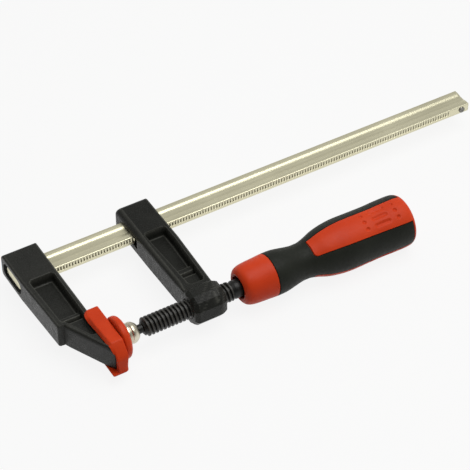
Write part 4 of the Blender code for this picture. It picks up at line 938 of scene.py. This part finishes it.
window_middles = 106.5 + 120.0 * np.arange(3)
window_halves = np.array([30.5, 22.5, 22.5])
edges = np.concatenate([window_middles - window_halves, window_middles + window_halves])
angles = np.concatenate([np.arange(0.0, 360.0, 2.0)] + [edge + np.linspace(-2.5, 2.5, 11) for edge in edges]
                        + [m + np.linspace(-22.0, 22.0, 45) for m in window_middles]
                        + [np.linspace(139.5, 146.0, 14)])
angles = np.unique(np.round(np.mod(angles, 360.0), 3))
turn = np.radians(angles)
apart = np.abs(np.mod(angles[None, :] - window_middles[:, None] + 180.0, 360.0) - 180.0)
within_window = np.max(window_halves[:, None] - apart, 0)
spreading = (angles > window_middles[0]) & (angles < window_middles[0] + 60.0)
offset = np.mod(angles - window_middles[0] + 60.0, 120.0) - 60.0


def window(x, radius):
    """Distance inside the nearest window, in millimetres.

    Its front corners are rounded, and the lower side of the first one spreads to the rear.
    """
    spread = 6.5 * np.clip((x - 196.0) / 66.0, 0.0, 1.0) * spreading[None, :]
    beside = np.radians(within_window[None, :] + spread) * np.maximum(radius, 13.0)
    behind = x - WINDOW_X
    corner = np.where(spreading, 3.2, 0.9)[None, :]
    return np.minimum(np.minimum(beside, behind),
                      corner - np.hypot(np.maximum(corner - beside, 0.0), np.maximum(corner - behind, 0.0)))


def marks_in_panel(x):
    """Depth of the finger dimples and of the lengthwise grooves between them."""
    depth = 0.0
    for middle in DIMPLE_ROWS:
        beside = np.radians(offset - middle)[None, :] * HANDLE_FULL
        for place in DIMPLE_PLACES:
            depth = depth + 1.0 * ease(1.3 - np.hypot(x - place, beside) / 1.45)
        along = np.maximum(np.abs(x - GROOVE_MIDDLE) - 5.0, 0.0) / 2.2
        depth = depth + 0.9 * ease(1.0 - np.hypot(along, beside / 2.2))
    return depth


body_x = stations((SLEEVE_X + 0.6, 40), (WINDOW_X - 1.5, 36), (200.0, 40), (226.0, 90), (259.0, 14),
                  (265.0, 2), (265.6, 2), (266.0, 12), (HANDLE_END - 0.05, 0))
radius = handle_radius(body_x)[:, None]
inside = window(body_x[:, None], radius)
inside = np.maximum(inside, (body_x - 265.3)[:, None])
raised = ease((inside + 0.15) / 0.55)
panel_r = radius - PANEL_STEP * (1.0 - raised) - marks_in_panel(body_x[:, None]) * raised
front = np.array([(4.0, 0.0), (4.0, 7.9), (3.7, 8.3), (0.8, 8.4), (0.35, 8.55), (0.1, 8.9), (0.0, 9.4),
                  (0.02, 10.0)]) + np.array([HANDLE_X, 0.0])
ferrule_x = stations((HANDLE_X + 0.15, 12), (HANDLE_X + 3.0, 30), (SLEEVE_X - 0.5, 0))
ferrule = np.stack([ferrule_x, handle_radius(ferrule_x)], -1)
start_r = handle_radius(np.array([SLEEVE_X]))[0]
seam = np.array([(SLEEVE_X - 0.15, start_r - 0.35), (SLEEVE_X - 0.1, start_r - PANEL_STEP)])
lead = np.concatenate([front, ferrule, seam])
count = turn.size
core_x = np.concatenate([np.repeat(lead[:, :1], count, 1), np.repeat(body_x[:, None], count, 1),
                         np.full((2, count), HANDLE_END)])
core_r = np.concatenate([np.repeat(lead[:, 1:], count, 1), panel_r,
                         np.full((1, count), 15.2), np.zeros((1, count))])
core_rows = np.stack([core_x, SCREW_Y + core_r * np.cos(turn), core_r * np.sin(turn)], -1)

red_hard = moulded("red_hard", 3200.0, 45.0, (0.56, 0.039, 0.006), (0.64, 0.052, 0.01), (0.38, 0.5),
                   0.00005, IOR=1.5, Specular_IOR_Level=0.17)
core = shell("handle_red", core_rows)
dress(core, red_hard, "screw_assembly", "red_hard", "handle_core")

# Soft grip. Black elastomer sleeve moulded over the core, cut out round the three panels.
kept = body_x < 265.9
sleeve_r = (radius - 1.35 * ease((inside + 0.35) / 0.5))[kept]
nose = np.array([(SLEEVE_X + 0.1, start_r - SLEEVE_WALL), (SLEEVE_X + 0.1, start_r - 0.5),
                 (SLEEVE_X + 0.25, start_r - 0.15)])
inner_x = np.linspace(265.6, SLEEVE_X + 0.1, 60)
inner_r = handle_radius(inner_x) - SLEEVE_WALL
sleeve_x = np.concatenate([np.repeat(nose[:, :1], count, 1), np.repeat(body_x[kept][:, None], count, 1),
                           np.repeat(inner_x[:, None], count, 1)])
sleeve_r = np.concatenate([np.repeat(nose[:, 1:], count, 1), sleeve_r, np.repeat(inner_r[:, None], count, 1)])
sleeve_rows = np.stack([sleeve_x, SCREW_Y + sleeve_r * np.cos(turn), sleeve_r * np.sin(turn)], -1)

black_rubber = moulded("black_rubber", 2600.0, 50.0, (0.0095, 0.011, 0.0075), (0.015, 0.017, 0.012),
                       (0.46, 0.6), 0.00008, Specular_IOR_Level=0.17)
sleeve = shell("grip_sleeve", sleeve_rows, looped=True)
dress(sleeve, black_rubber, "screw_assembly", "black_rubber", "soft_grip")
